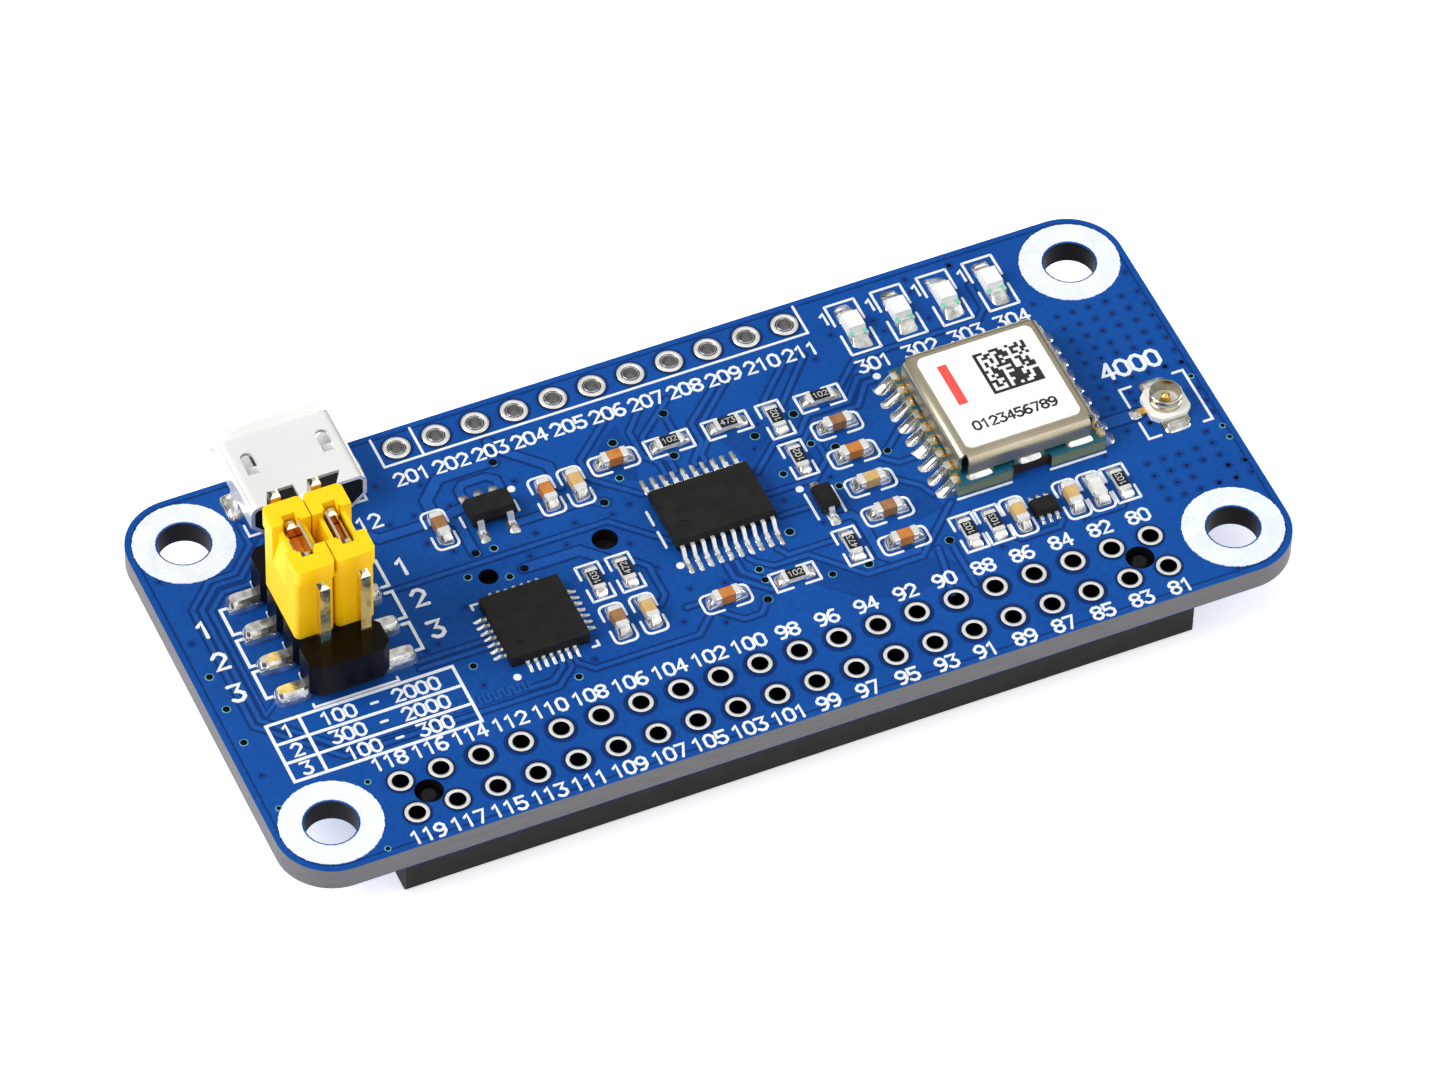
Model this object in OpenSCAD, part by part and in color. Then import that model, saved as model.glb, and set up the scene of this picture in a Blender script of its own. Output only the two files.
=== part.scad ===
// Satellite positioning board: a plug-on expansion board that carries a shielded
// receiver module, a serial bridge with its own socket, a row of routing jumpers and a
// coaxial antenna socket. A female header and a holder for the backup cell are underneath.
// Millimetres. The origin is the centre of the mounting holes, on the board's underside.
// X runs along the board, Y points to the serial socket and Z points up to the parts side.

/* [Board] */
// Length of the board along X
board_l = 65; // [64:0.1:75]
// Width of the board along Y
board_w = 30.2; // [29.8:0.1:36]
// Thickness of the board
board_t = 1.6; // [1:0.1:2.4]
// Radius of the board's corners
board_corner_r = 3.5; // [1:0.1:5]
// Distance between the mounting holes along X
hole_span_x = 58; // [57:0.1:58.5]
// Distance between the mounting holes along Y
hole_span_y = 23; // [22:0.1:23.4]
// Diameter of the mounting holes
mount_hole_d = 3.2; // [2.2:0.1:3.4]

/* [Plated holes] */
// Spacing of the header's holes and of the rear row
pin_pitch = 2.54; // [2.5:0.01:2.65]
// Number of hole pairs along the header
header_columns = 20; // [10:1:20]
// Clear diameter of a plated hole
plated_d = 1; // [0.8:0.05:1.1]
// Diameter of the ring round a plated hole
pad_d = 1.7; // [1.4:0.05:1.75]
// Thickness of the rings on the two faces
pad_t = 0.05; // [0.03:0.01:0.1]
// Thickness of the plating in a hole
plating_t = 0.05; // [0.03:0.01:0.1]
// Number of holes in the rear row
rear_holes = 11; // [4:1:11]
// X of the first hole of the rear row
rear_row_x = -14.5; // [-15:0.1:-13]
// Distance from the rear edge to the rear row
rear_row_inset = 1.55; // [1.2:0.05:2]

/* [Female header] */
// Depth of the header below the board
socket_depth = 3.7; // [3:0.1:8.5]
// Housing wall outside a row's centre line
socket_wall = 1.27; // [1:0.01:1.6]
// Width of a contact's square cavity
cavity_w = 0.9; // [0.8:0.05:1.1]
// Diameter of the lead-in at a cavity's mouth
lead_in_d = 1.5; // [1.2:0.05:1.9]
// Depth of the lead-in
lead_in_depth = 0.5; // [0.2:0.05:0.8]
// Thickness of a contact
contact_t = 0.2; // [0.1:0.02:0.24]
// Width of a contact
contact_w = 0.5; // [0.3:0.05:0.7]
// Reach of a contact's foot beyond the housing
contact_foot = 0.7; // [0.3:0.05:1.2]
// Diameter of the two locating pegs
peg_d = 1.6; // [1.2:0.05:1.65]
// Clearance round a locating peg
peg_clear = 0.08; // [0.03:0.01:0.1]
// Distance of a locating peg's tip below the board's upper face
peg_recess = 0.3; // [0.1:0.05:0.6]
// Bevel along the housing's lower edges
socket_edge = 0.25; // [0.1:0.05:0.4]
// How far a contact's leaf bows towards the pin
contact_bow = 0.12; // [0.05:0.01:0.15]

/* [Serial socket] */
// X of the serial socket
usb_x = -21.45; // [-21.8:0.05:-20.5]
// Width of the shell
usb_w = 7.4; // [7:0.05:7.8]
// Height of the shell
usb_h = 2.6; // [2.4:0.05:3]
// Length of the shell
usb_l = 5.7; // [5:0.05:6]
// How far the mouth stands out past the board
usb_overhang = 0.9; // [0.3:0.05:1.5]
// Thickness of the shell's sheet
usb_sheet = 0.25; // [0.15:0.01:0.3]
// Outer radius of the shell's upper corners
usb_corner_r = 0.6; // [0.4:0.05:0.8]
// Size of the shell's lower bevels
usb_bevel = 0.9; // [0.5:0.05:1.1]
// Length of the flared lips at the mouth
usb_lip_l = 0.45; // [0.2:0.05:0.6]
// How far the lips flare
usb_lip_flare = 0.3; // [0.1:0.05:0.4]
// Width of a soldered leg
usb_leg_w = 1.2; // [0.8:0.05:1.6]
// Distance of the legs behind the mouth
usb_leg_back = 2.9; // [2.5:0.05:3.5]
// Clearance of a leg in its slot
usb_leg_clear = 0.12; // [0.05:0.01:0.2]
// Spacing of the five contacts
usb_pitch = 0.65; // [0.6:0.01:0.7]
// Width of a serial contact
usb_contact_w = 0.3; // [0.2:0.01:0.35]
// Thickness of a serial contact
usb_contact_t = 0.15; // [0.1:0.01:0.2]
// Width of the tongue that carries the contacts
usb_tongue_w = 3.7; // [3.4:0.05:4.2]
// Thickness of the tongue
usb_tongue_t = 0.7; // [0.5:0.05:0.8]

/* [Jumper header] */
// Place of the jumper header
jumper_at = [-24.15, 2]; // [-26:0.05:4]
// Spacing of the jumper pins
jumper_pitch = 2.54; // [2.4:0.01:2.6]
// Number of pin pairs
jumper_rows = 4; // [4:2:4]
// Side of a square pin
pin_side = 0.64; // [0.5:0.02:0.7]
// Height of the pin tips above the board
pin_top = 9.2; // [8.8:0.05:10.5]
// Size of the bevel at a pin's tip
pin_bevel = 0.2; // [0.1:0.02:0.28]
// Reach of the soldered tails from the header's middle
tail_reach = 4.25; // [3.6:0.05:4.6]
// Gap below the header's base, where the tails run
base_gap = 0.7; // [0.7:0.05:1]
// Height of the header's base
base_h = 2.5; // [2:0.05:2.6]
// Bevel at the corners of each pin pair's block
base_bevel = 0.55; // [0.2:0.05:0.8]

/* [Jumper caps] */
// Height of a cap
cap_h = 6.3; // [6.1:0.05:7.5]
// Gap between neighbouring caps
cap_gap = 0.09; // [0.04:0.01:0.3]
// Outer wall of a cap
cap_wall = 0.5; // [0.46:0.01:0.56]
// Thickness of a cap's roof
cap_roof = 1; // [0.6:0.05:1.2]
// Radius of a cap's upright edges
cap_edge_r = 0.35; // [0.1:0.05:0.5]
// Height of the grip rims at a cap's two ends
rim_h = 1.3; // [0.8:0.05:1.6]
// Length of a grip rim along the cap
rim_l = 1.75; // [1.2:0.05:2]
// How far a grip rim stands out
rim_out = 0.3; // [0.1:0.02:0.4]
// Width of the slot at the middle of a cap's roof
cap_slot_w = 1.15; // [0.95:0.05:1.25]
// How far a cap's waist lies below its grip rims
waist_drop = 0.5; // [0.1:0.05:0.6]
// Depth of the grooves at the middle of a cap's sides
groove_depth = 0.4; // [0.1:0.02:0.4]
// Length of a groove down a cap's side
groove_h = 3; // [1.5:0.1:4]
// Thickness of the contact strip in a cap
clip_t = 0.13; // [0.08:0.01:0.16]
// Length of the contact strip along a cap
clip_l = 3.2; // [2.6:0.05:3.3]
// Length of the tongue on the strip's taller leaf
clip_tongue_l = 2.2; // [1.6:0.05:2.5]
// Height of the contact strip's lower edge above the header's base
clip_lift = 0.8; // [0.4:0.05:1.2]
// Distance of the contact strip's upper edge below the roof's top
clip_sink = 0.12; // [0.05:0.01:0.3]

/* [Receiver module] */
// Place of the receiver module
module_at = [19.75, 2.05]; // [1:0.05:21]
// Size of the module's carrier board
carrier_size = [9.7, 10.1]; // [9.4:0.05:10.6]
// Thickness of the carrier board
carrier_t = 0.9; // [0.6:0.05:1.2]
// Edge contacts along each side
castellations = 9; // [6:1:9]
// Spacing of the edge contacts
castellation_pitch = 1.1; // [1:0.01:1.15]
// Radius of an edge contact's half hole
castellation_r = 0.35; // [0.25:0.01:0.4]
// Depth and length of the pad round an edge contact's half hole
castellation_pad = [0.3, 0.8]; // [0.1:0.05:0.9]
// Width and depth of the break-off notch in the front edge
tab_notch = [2.5, 0.3]; // [0.1:0.05:3]
// Plan size of the shield can
shield_size = [9, 9.2]; // [8.4:0.05:9.3]
// Height of the shield's top above the board
shield_top = 2.5; // [2.1:0.05:3.5]
// Thickness of the shield's sheet
shield_t = 0.2; // [0.1:0.01:0.3]
// Bend radius at the shield's top edges
shield_bend_r = 0.55; // [0.35:0.05:0.7]
// Opening between the folded walls at each corner
shield_slit = 0.5; // [0.3:0.05:0.7]
// Spacing of the soldered feet along a wall
foot_spacing = 3.35; // [2.8:0.05:3.4]
// Width of the opening between two feet
foot_gap_w = 1.4; // [0.8:0.05:2]
// Height of the opening between two feet
foot_gap_h = 0.3; // [0.1:0.05:0.5]
// Plan size of the label
label_size = [7.55, 7.65]; // [6:0.05:7.8]
// Thickness of the label
label_t = 0.08; // [0.04:0.01:0.15]
// Corner radius of the label
label_r = 0.5; // [0.2:0.05:1]
// Place of the receiver chip on its carrier
receiver_chip_at = [0.8, 0.9]; // [-1:0.1:1.2]
// Size of the receiver chip
receiver_chip_size = [4, 4, 0.6]; // [0.5:0.05:4.2]
// Place of the input filter on its carrier
saw_filter_at = [2.4, -2.8]; // [-3:0.1:2.6]
// Size of the input filter
saw_filter_size = [1.4, 1.1, 0.5]; // [0.4:0.05:1.6]
// Place of the oscillator on its carrier
oscillator_at = [-2.7, -0.6]; // [-3:0.1:0]
// Size of the oscillator
oscillator_size = [1.6, 2, 0.55]; // [0.4:0.05:2.2]

/* [Level shifter] */
// Place of the level shifter
shifter_at = [0.85, 1.6]; // [-1:0.05:3]
// Body size of the level shifter
shifter_size = [6.5, 4.4, 1]; // [0.9:0.05:6.7]
// Leads along each side of the level shifter
shifter_leads = 10; // [8:1:10]
// Spacing of the level shifter's leads
shifter_pitch = 0.65; // [0.5:0.01:0.68]
// Tip-to-tip span of the level shifter's leads
shifter_span = 6.4; // [6:0.05:6.8]
// Width of a level shifter lead
shifter_lead_w = 0.24; // [0.18:0.01:0.32]
// Diameter of the level shifter's pin-one dimple and its distance from two sides
shifter_dimple = [0.9, 1]; // [0.4:0.05:1.2]

/* [Serial bridge] */
// Place of the serial bridge
bridge_at = [-12.3, -2.35]; // [-13:0.05:-2]
// Body size of the serial bridge
bridge_size = [5, 5, 0.85]; // [0.7:0.05:5.2]
// Terminals along each side of the serial bridge
bridge_pads = 7; // [5:1:8]
// Spacing of the bridge's terminals
bridge_pitch = 0.5; // [0.45:0.01:0.55]
// Size of a bridge terminal: width, depth and height
bridge_pad_size = [0.25, 0.45, 0.2]; // [0.15:0.01:0.5]
// Side and thickness of the bridge's centre pad
bridge_heat_pad = [3.1, 0.1]; // [0.05:0.01:3.5]
// Diameter of the bridge's pin-one dimple and its distance from two sides
bridge_dimple = [0.5, 0.9]; // [0.3:0.05:1.2]

/* [Small semiconductors] */
// Place of the regulator
regulator_at = [-11.4, 6.6]; // [-12:0.05:8]
// Body size of the regulator
regulator_size = [2.9, 1.6, 1.1]; // [0.9:0.05:3.1]
// Spacing of the regulator's leads
regulator_pitch = 0.95; // [0.9:0.01:1]
// Tip-to-tip span of the regulator's leads
regulator_span = 2.8; // [2.6:0.05:3]
// Width of a regulator lead
regulator_lead_w = 0.4; // [0.3:0.01:0.5]
// Place of the diode
diode_at = [7.35, -0.4]; // [-2:0.05:8]
// Body size of the diode
diode_size = [1.25, 1.7, 0.95]; // [0.8:0.05:1.9]
// Tip-to-tip span of the diode's leads
diode_span = 2.5; // [2.4:0.05:2.8]
// Width of a diode lead
diode_lead_w = 0.35; // [0.25:0.01:0.6]
// Place of the load switch
switch_at = [19.25, -5.8]; // [-6:0.05:20]
// Body size of the load switch
switch_size = [1.6, 1.2, 0.55]; // [0.45:0.05:1.7]
// Spacing of the load switch's leads
switch_pitch = 0.5; // [0.45:0.01:0.55]
// Tip-to-tip span of the load switch's leads
switch_span = 1.7; // [1.5:0.05:1.9]
// Width of a load switch lead
switch_lead_w = 0.22; // [0.15:0.01:0.3]

/* [Antenna socket] */
// Distance of the antenna socket's middle from the board's right edge
antenna_inset = 3.1; // [2.6:0.05:3.6]
// Y of the antenna socket
antenna_y = -1.2; // [-2:0.05:0]
// Side of the square base
antenna_base_w = 2.6; // [2.4:0.05:2.9]
// Height of the base
antenna_base_h = 0.4; // [0.3:0.05:0.5]
// Bevel at the base's corners
antenna_base_bevel = 0.5; // [0.2:0.05:0.6]
// Outer diameter of the ring
antenna_ring_d = 2; // [1.8:0.05:2.2]
// Wall of the ring
antenna_ring_wall = 0.14; // [0.1:0.01:0.2]
// Height of the ring's top above the board
antenna_ring_top = 1.25; // [1:0.05:1.5]
// Depth of the latch groove round the ring
antenna_groove = 0.06; // [0.03:0.01:0.08]
// Height of the plain bands above and below the latch groove
antenna_band = 0.27; // [0.2:0.01:0.35]
// Diameter of the centre pin
antenna_pin_d = 0.5; // [0.4:0.02:0.6]
// Height of the centre pin's tip above the board
antenna_pin_top = 1.05; // [0.9:0.05:1.3]
// Thickness of the solder tabs
antenna_tab_t = 0.14; // [0.1:0.01:0.2]
// Width of a ground tab
antenna_ground_w = 1.8; // [1.4:0.05:2]
// Reach of the solder tabs from the socket's middle
antenna_tab_reach = 1.75; // [1.6:0.05:2]

/* [Status lights] */
// X of the first status light
led_x = 14.65; // [14:0.05:15]
// Distance of the status lights' middle from the board's rear edge
led_inset = 3.3; // [2.8:0.05:4]
// Number of status lights
led_count = 4; // [4:1:4]
// Spacing of the status lights
led_pitch = 3.06; // [2.5:0.02:3.1]
// Size of a light's base
led_size = [1.25, 2, 0.32]; // [0.25:0.01:2.1]
// Size of a light's lens
led_lens_size = [1.2, 1.4, 0.5]; // [0.3:0.05:1.5]
// Draft of a lens's sides
led_draft = 0.08; // [0.04:0.01:0.15]
// Length of an end cap along a light
led_cap_l = 0.28; // [0.15:0.01:0.35]

/* [Chip parts] */
// Length of a chip part
chip_l = 1.6; // [1.5:0.02:1.7]
// Width of a chip part
chip_w = 0.8; // [0.7:0.02:0.9]
// Height of a capacitor
capacitor_h = 0.8; // [0.6:0.02:0.9]
// Height of a resistor
resistor_h = 0.45; // [0.4:0.01:0.55]
// Height of the ferrite bead
bead_h = 0.8; // [0.6:0.02:0.9]
// Length of an end cap along a capacitor or a bead
end_cap_l = 0.35; // [0.2:0.01:0.45]
// Length of an end cap along a resistor
resistor_cap_l = 0.26; // [0.15:0.01:0.35]
// Thickness of an end cap
end_cap_t = 0.04; // [0.02:0.01:0.06]
// Bevel on an end cap's edges
end_cap_bevel = 0.06; // [0.03:0.01:0.1]
// Thickness of a resistor's coat
coat_t = 0.04; // [0.02:0.01:0.06]

/* [Backup cell] */
// Place of the cell holder under the board
cell_at = [-9.6, 2.15]; // [-10:0.05:3]
// Diameter of the cell
cell_d = 12.5; // [11.6:0.1:12.5]
// Thickness of the cell
cell_t = 2; // [1.6:0.1:2.1]
// Bevel at the cell's outer edge
cell_edge = 0.3; // [0.1:0.05:0.5]
// Width of the crimped lip round the cell's cap
cell_lip = 0.5; // [0.2:0.05:0.8]
// Clearance round the cell
cell_clear = 0.15; // [0.05:0.01:0.3]
// Plan size of the holder
holder_size = [16.4, 14]; // [13.8:0.1:17]
// Height of the holder
holder_h = 3.7; // [3.6:0.1:5]
// Thickness of the holder's floor
holder_floor = 0.6; // [0.4:0.05:0.7]
// Radius of the holder's corners
holder_corner_r = 1.5; // [0.5:0.1:3]
// Distance between the holder's two locating pegs
holder_peg_span = 7.5; // [6:0.1:9]
// Diameters of the two peg holes in the board
holder_hole_d = [1.2, 1.6]; // [1:0.05:1.8]
// Clearance round a holder peg
holder_peg_clear = 0.05; // [0.02:0.01:0.1]
// Distance of a holder peg's tip below the board's upper face
holder_peg_recess = 0.9; // [0.2:0.05:1.1]
// Thickness of the cell's contacts
cell_contact_t = 0.25; // [0.15:0.01:0.3]
// Width of the cell's contacts
cell_contact_w = 4; // [2:0.1:5]
// Reach of a cell contact's foot beyond the holder
cell_foot = 1.3; // [0.8:0.05:1.8]
// Width of the finger opening in the holder's wall
finger_w = 6; // [3:0.1:8]

/* [Hidden] */
$fn = 48;
// Overshoot of a cut past the face it opens
cut = 1;
// Overshoot of a cone past the face it opens
sliver = 0.01;
// Depth by which joined strips of sheet run into each other
joint = 0.1;

header_y = -hole_span_y / 2;
header_l = header_columns * pin_pitch;
header_w = pin_pitch + 2 * socket_wall;
socket_top = pad_t + contact_t;
peg_x = (header_columns / 2 - 1) * pin_pitch;
peg_hole_d = peg_d + 2 * peg_clear;
rear_row_y = board_w / 2 - rear_row_inset;
barrel_d = plated_d + 2 * plating_t;
contact_clear = 0.3;
header_holes = [
  for (i = [0 : header_columns - 1], side = [-1, 1])
    [(i - (header_columns - 1) / 2) * pin_pitch, header_y + side * pin_pitch / 2]
];
rear_row = [for (i = [0 : rear_holes - 1]) [rear_row_x + i * pin_pitch, rear_row_y]];

usb_mouth_y = board_w / 2 + usb_overhang;
usb_latch_x = 2.4;
usb_window = [0.8, 1.75];
usb_window_front = 1.4;
usb_block_l = 2;
usb_tongue_end = 0.7;
usb_tail_l = 1.1;
usb_contact_z = usb_h / 2;
usb_tab_w = 1.3;
usb_tab_drop = 0.75;
usb_notch_depth = 0.95;
usb_notch_x = [1.75, 2.35];
usb_latch_l = 0.8;
usb_latch_drop = 0.3;
usb_lip_short = 0.5;
usb_leg_out = 0.3;
usb_riser_gap = 0.2;
usb_contact_short = 0.4;

jumper_base_top = base_gap + base_h;
cap_w = jumper_pitch - cap_gap;
cap_l = 2 * jumper_pitch - cap_gap;
cap_slot_clear = 0.1;
cap_slot_l = jumper_pitch + pin_side + 2 * cap_slot_clear;
clip_web_clear = 0.2;
pin_rows = [for (r = [0 : jumper_rows - 1]) (r - (jumper_rows - 1) / 2) * jumper_pitch];

antenna_at = [board_l / 2 - antenna_inset, antenna_y];
led_at = [led_x, board_w / 2 - led_inset];

shield_h = shield_top - carrier_t;
castellation_pad_x = min(castellation_pad.x, (carrier_size.x - shield_size.x) / 2 - plating_t);
castellation_ys = [
  for (i = [0 : castellations - 1])
    (i - (castellations - 1) / 2) * castellation_pitch
];

lead_t = 0.15;
lead_foot = 0.5;
body_standoff = 0.1;
mould_draft = 0.12;
dimple_depth = 0.05;

// Chip places: X, Y and the turn of the long side from X
capacitor_places = [
  [-14.6, 6.6, 90], [-7.7, 6.6, 90], [-5.8, 6.6, 90], [-2.95, 7.5, 0],
  [10.5, 4.9, 0], [10.5, 2.45, 0], [10.5, 0, 0], [10.5, -2.45, 0], [10.5, -4.9, 0],
  [-1.1, -4.95, 0], [-7.7, -4.15, 90], [-5.75, -4.15, 90], [17.55, -5.8, 90], [21.05, -5.8, 90]
];
resistor_places = [
  [0.65, 7.5, 0], [4.45, 7.5, 0], [7.3, 6.8, 90], [7.3, 3.4, 90], [10.45, 7.3, 0],
  [7.45, -4.05, 90], [3.35, -4.95, 0], [-7.7, -0.7, 90], [-5.75, -0.7, 90],
  [14.3, -5.8, 90], [15.95, -5.8, 90], [24.25, -5.8, 90]
];
bead_place = [22.65, -5.8, 90];

cell_spring = 0.1;
cell_seat = holder_floor + cell_contact_t + cell_spring;
cell_face = cell_seat + cell_t;
holder_peg_xs = [-holder_peg_span / 2, holder_peg_span / 2];

capacitor_names = [for (i = [1 : len(capacitor_places)]) str("capacitor_", i)];
lens_names = [for (i = [1 : led_count]) str("led_lens_", i)];

// Rectangle with round corners, centred
module rounded_outline(size, r) {
  square([size.x - 2 * r, size.y], center = true);
  square([size.x, size.y - 2 * r], center = true);
  for (sx = [-1, 1], sy = [-1, 1])
    translate([sx * (size.x / 2 - r), sy * (size.y / 2 - r)])
      circle(r);
}

// Rectangle with bevelled corners, centred
function bevelled_points(size, c) = [
  [-size.x / 2 + c, -size.y / 2], [size.x / 2 - c, -size.y / 2],
  [size.x / 2, -size.y / 2 + c], [size.x / 2, size.y / 2 - c],
  [size.x / 2 - c, size.y / 2], [-size.x / 2 + c, size.y / 2],
  [-size.x / 2, size.y / 2 - c], [-size.x / 2, -size.y / 2 + c]
];

// Box centred in plan and standing on its seat
module seated_box(size) {
  translate([-size.x / 2, -size.y / 2, 0])
    cube(size);
}

// Outline in Y and Z, carried along X and centred
module along_x(length) {
  rotate([90, 0, 90])
    linear_extrude(length, center = true)
      children();
}

// Outline in X and Z, carried along Y and centred
module along_y(length) {
  rotate([90, 0, 0])
    linear_extrude(length, center = true)
      children();
}

// Stands its children on the board's upper face at a place
module on_board(place, turn = 0) {
  translate([place.x, place.y, board_t])
    rotate(turn)
      children();
}

// Board blank with every hole drilled and slotted
module board() {
  color([0.07, 0.25, 0.6])
    difference() {
      linear_extrude(board_t)
        rounded_outline([board_l, board_w], board_corner_r);
      for (sx = [-1, 1], sy = [-1, 1])
        translate([sx * hole_span_x / 2, sy * hole_span_y / 2, -cut])
          cylinder(d = mount_hole_d, h = board_t + 2 * cut);
      for (place = concat(header_holes, rear_row))
        translate([place.x, place.y, -cut])
          cylinder(d = barrel_d, h = board_t + 2 * cut);
      for (side = [-1, 1])
        translate([side * peg_x, header_y, -cut])
          cylinder(d = peg_hole_d, h = board_t + 2 * cut);
      for (i = [0, 1])
        translate([cell_at.x + holder_peg_xs[i], cell_at.y, -cut])
          cylinder(d = holder_hole_d[i], h = board_t + 2 * cut);
      for (side = [-1, 1])
        translate([usb_x + side * (usb_w - usb_sheet) / 2, usb_mouth_y - usb_leg_back, -cut])
          seated_box([usb_sheet + 2 * usb_leg_clear, usb_leg_w + 2 * usb_leg_clear, board_t + 2 * cut]);
    }
}

// Tinned barrels with a ring on each face
module plated_holes() {
  bore_r = plated_d / 2;
  barrel_r = barrel_d / 2;
  ring_r = pad_d / 2;
  top = board_t + pad_t;
  profile = [
    [bore_r, -pad_t], [ring_r, -pad_t], [ring_r, 0], [barrel_r, 0],
    [barrel_r, board_t], [ring_r, board_t], [ring_r, top], [bore_r, top]
  ];
  color([0.8, 0.8, 0.78])
    for (place = concat(header_holes, rear_row))
      translate([place.x, place.y, 0])
        rotate_extrude()
          polygon(profile);
}

// Moulded housing of the female header, with its two locating pegs
module header_housing() {
  body_h = socket_depth - socket_top;
  half = header_w / 2;
  profile = [
    [-half, 0], [-half, -body_h + socket_edge], [-half + socket_edge, -body_h],
    [half - socket_edge, -body_h], [half, -body_h + socket_edge], [half, 0]
  ];
  peg_l = socket_top + board_t - peg_recess;
  peg_r = peg_d / 2;
  tip_r = peg_r / 2;
  color([0.07, 0.07, 0.08])
    difference() {
      union() {
        translate([0, header_y, -socket_top])
          along_x(header_l)
            polygon(profile);
        for (side = [-1, 1])
          translate([side * peg_x, header_y, -socket_top])
            rotate_extrude()
              polygon([[0, -tip_r], [peg_r, -tip_r], [peg_r, peg_l - tip_r], [tip_r, peg_l], [0, peg_l]]);
      }
      for (place = header_holes)
        translate([place.x, place.y, -socket_depth]) {
          seated_box([cavity_w, cavity_w, 2 * socket_depth]);
          translate([0, 0, -sliver])
            cylinder(d1 = lead_in_d, d2 = cavity_w, h = lead_in_depth);
        }
    }
}

// One spring contact: a soldered foot, a bend and a leaf that bows towards the pin
module header_contact() {
  outer = cavity_w / 2;
  inner = outer - contact_t;
  foot_end = socket_wall + contact_foot;
  leaf_end = -socket_depth + lead_in_depth + contact_clear;
  bow_z = (leaf_end - socket_top) / 2;
  along_x(contact_w)
    polygon([
      [foot_end, -pad_t], [inner, -pad_t], [inner, -socket_top], [inner - contact_bow, bow_z],
      [inner, leaf_end], [outer, leaf_end], [outer - contact_bow, bow_z], [outer, -socket_top],
      [foot_end, -socket_top]
    ]);
}

// Both rows of spring contacts
module header_contacts() {
  color([0.8, 0.72, 0.45])
    for (i = [0 : header_columns - 1], side = [0, 180])
      translate([(i - (header_columns - 1) / 2) * pin_pitch, header_y, 0])
        rotate(side)
          translate([0, pin_pitch / 2, 0])
            header_contact();
}

// Shell section: round upper corners and bevelled lower ones, set in by a wall
module usb_outline(inset) {
  half = usb_w / 2 - inset;
  top = usb_h - inset;
  r = usb_corner_r - inset;
  shift = inset * tan(22.5);
  polygon([
    [-usb_w / 2 + usb_bevel + shift, inset], [usb_w / 2 - usb_bevel - shift, inset],
    [half, usb_bevel + shift], [half, top - r], [half - r, top],
    [-half + r, top], [-half, top - r], [-half, usb_bevel + shift]
  ]);
  for (side = [-1, 1])
    translate([side * (half - r), top - r])
      circle(r);
}

// Places its children at the mouth of the serial socket
module at_usb() {
  translate([usb_x, usb_mouth_y, board_t])
    children();
}

// Folded steel shell with flared lips, latch windows, a bent rear tab and two legs
module usb_shell() {
  color([0.83, 0.83, 0.82])
    at_usb() {
      difference() {
        rotate([90, 0, 0])
          linear_extrude(usb_l)
            difference() {
              usb_outline(0);
              usb_outline(usb_sheet);
            }
        for (side = [-1, 1])
          translate([side * usb_latch_x, 0, usb_h - 2 * usb_sheet])
            linear_extrude(4 * usb_sheet) {
              translate([0, -usb_window_front - usb_window.x / 2])
                circle(d = usb_window.x);
              translate([-usb_window.x / 2, -usb_window_front - usb_window.y])
                square([usb_window.x, usb_window.y - usb_window.x / 2]);
            }
        for (side = [0, 1])
          mirror([side, 0, 0])
            translate([0, -usb_l, usb_h - usb_sheet - usb_corner_r / 2])
              linear_extrude(usb_h)
                polygon([
                  [usb_tab_w / 2, -cut], [usb_notch_x[0], -cut], [usb_notch_x[0], 0],
                  [usb_notch_x[1], usb_notch_depth], [usb_tab_w / 2, usb_notch_depth]
                ]);
      }
      for (side = [-1, 1])
        translate([side * usb_latch_x, -usb_window_front - usb_window.y, usb_h])
          along_x(usb_window.x)
            polygon([
              [-joint, 0], [usb_latch_l, -usb_latch_drop],
              [usb_latch_l, -usb_latch_drop - usb_sheet], [-joint, -usb_sheet]
            ]);
      translate([0, 0, usb_h])
        along_x(usb_w - 2 * usb_corner_r - usb_lip_short)
          polygon([
            [-joint, 0], [usb_lip_l, usb_lip_flare],
            [usb_lip_l, usb_lip_flare - usb_sheet], [-joint, -usb_sheet]
          ]);
      along_x(usb_w - 2 * usb_bevel - usb_lip_short)
        polygon([[-joint, usb_sheet], [usb_lip_l, usb_sheet], [usb_lip_l, 0], [-joint, 0]]);
      for (side = [0, 1])
        mirror([side, 0, 0])
          translate([usb_w / 2, 0, usb_bevel + usb_lip_short / 2])
            linear_extrude(usb_h - usb_bevel - usb_corner_r - usb_lip_short)
              polygon([
                [0, -joint], [usb_lip_flare, usb_lip_l],
                [usb_lip_flare - usb_sheet, usb_lip_l], [-usb_sheet, -joint]
              ]);
      translate([0, -usb_l, usb_h])
        along_x(usb_tab_w)
          polygon([
            [joint, 0], [0, 0], [-usb_sheet, -usb_sheet], [-usb_sheet, -usb_tab_drop],
            [0, -usb_tab_drop], [0, -usb_sheet], [joint, -usb_sheet]
          ]);
      for (side = [-1, 1])
        translate([side * (usb_w - usb_sheet) / 2, -usb_leg_back, -board_t - usb_leg_out])
          seated_box([usb_sheet, usb_leg_w, board_t + usb_leg_out + usb_bevel + usb_sheet]);
    }
}

// One serial contact: foot on the board, riser behind the block and a strip under the tongue
module usb_contact() {
  back = -usb_l - usb_riser_gap;
  heel = back - usb_contact_t;
  toe = -usb_l - usb_tail_l;
  tip = -usb_tongue_end - usb_contact_short;
  top = usb_contact_z + usb_contact_t;
  along_x(usb_contact_w)
    polygon([
      [toe, 0], [back, 0], [back, usb_contact_z], [tip, usb_contact_z],
      [tip, top], [heel, top], [heel, usb_contact_t], [toe, usb_contact_t]
    ]);
}

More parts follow.
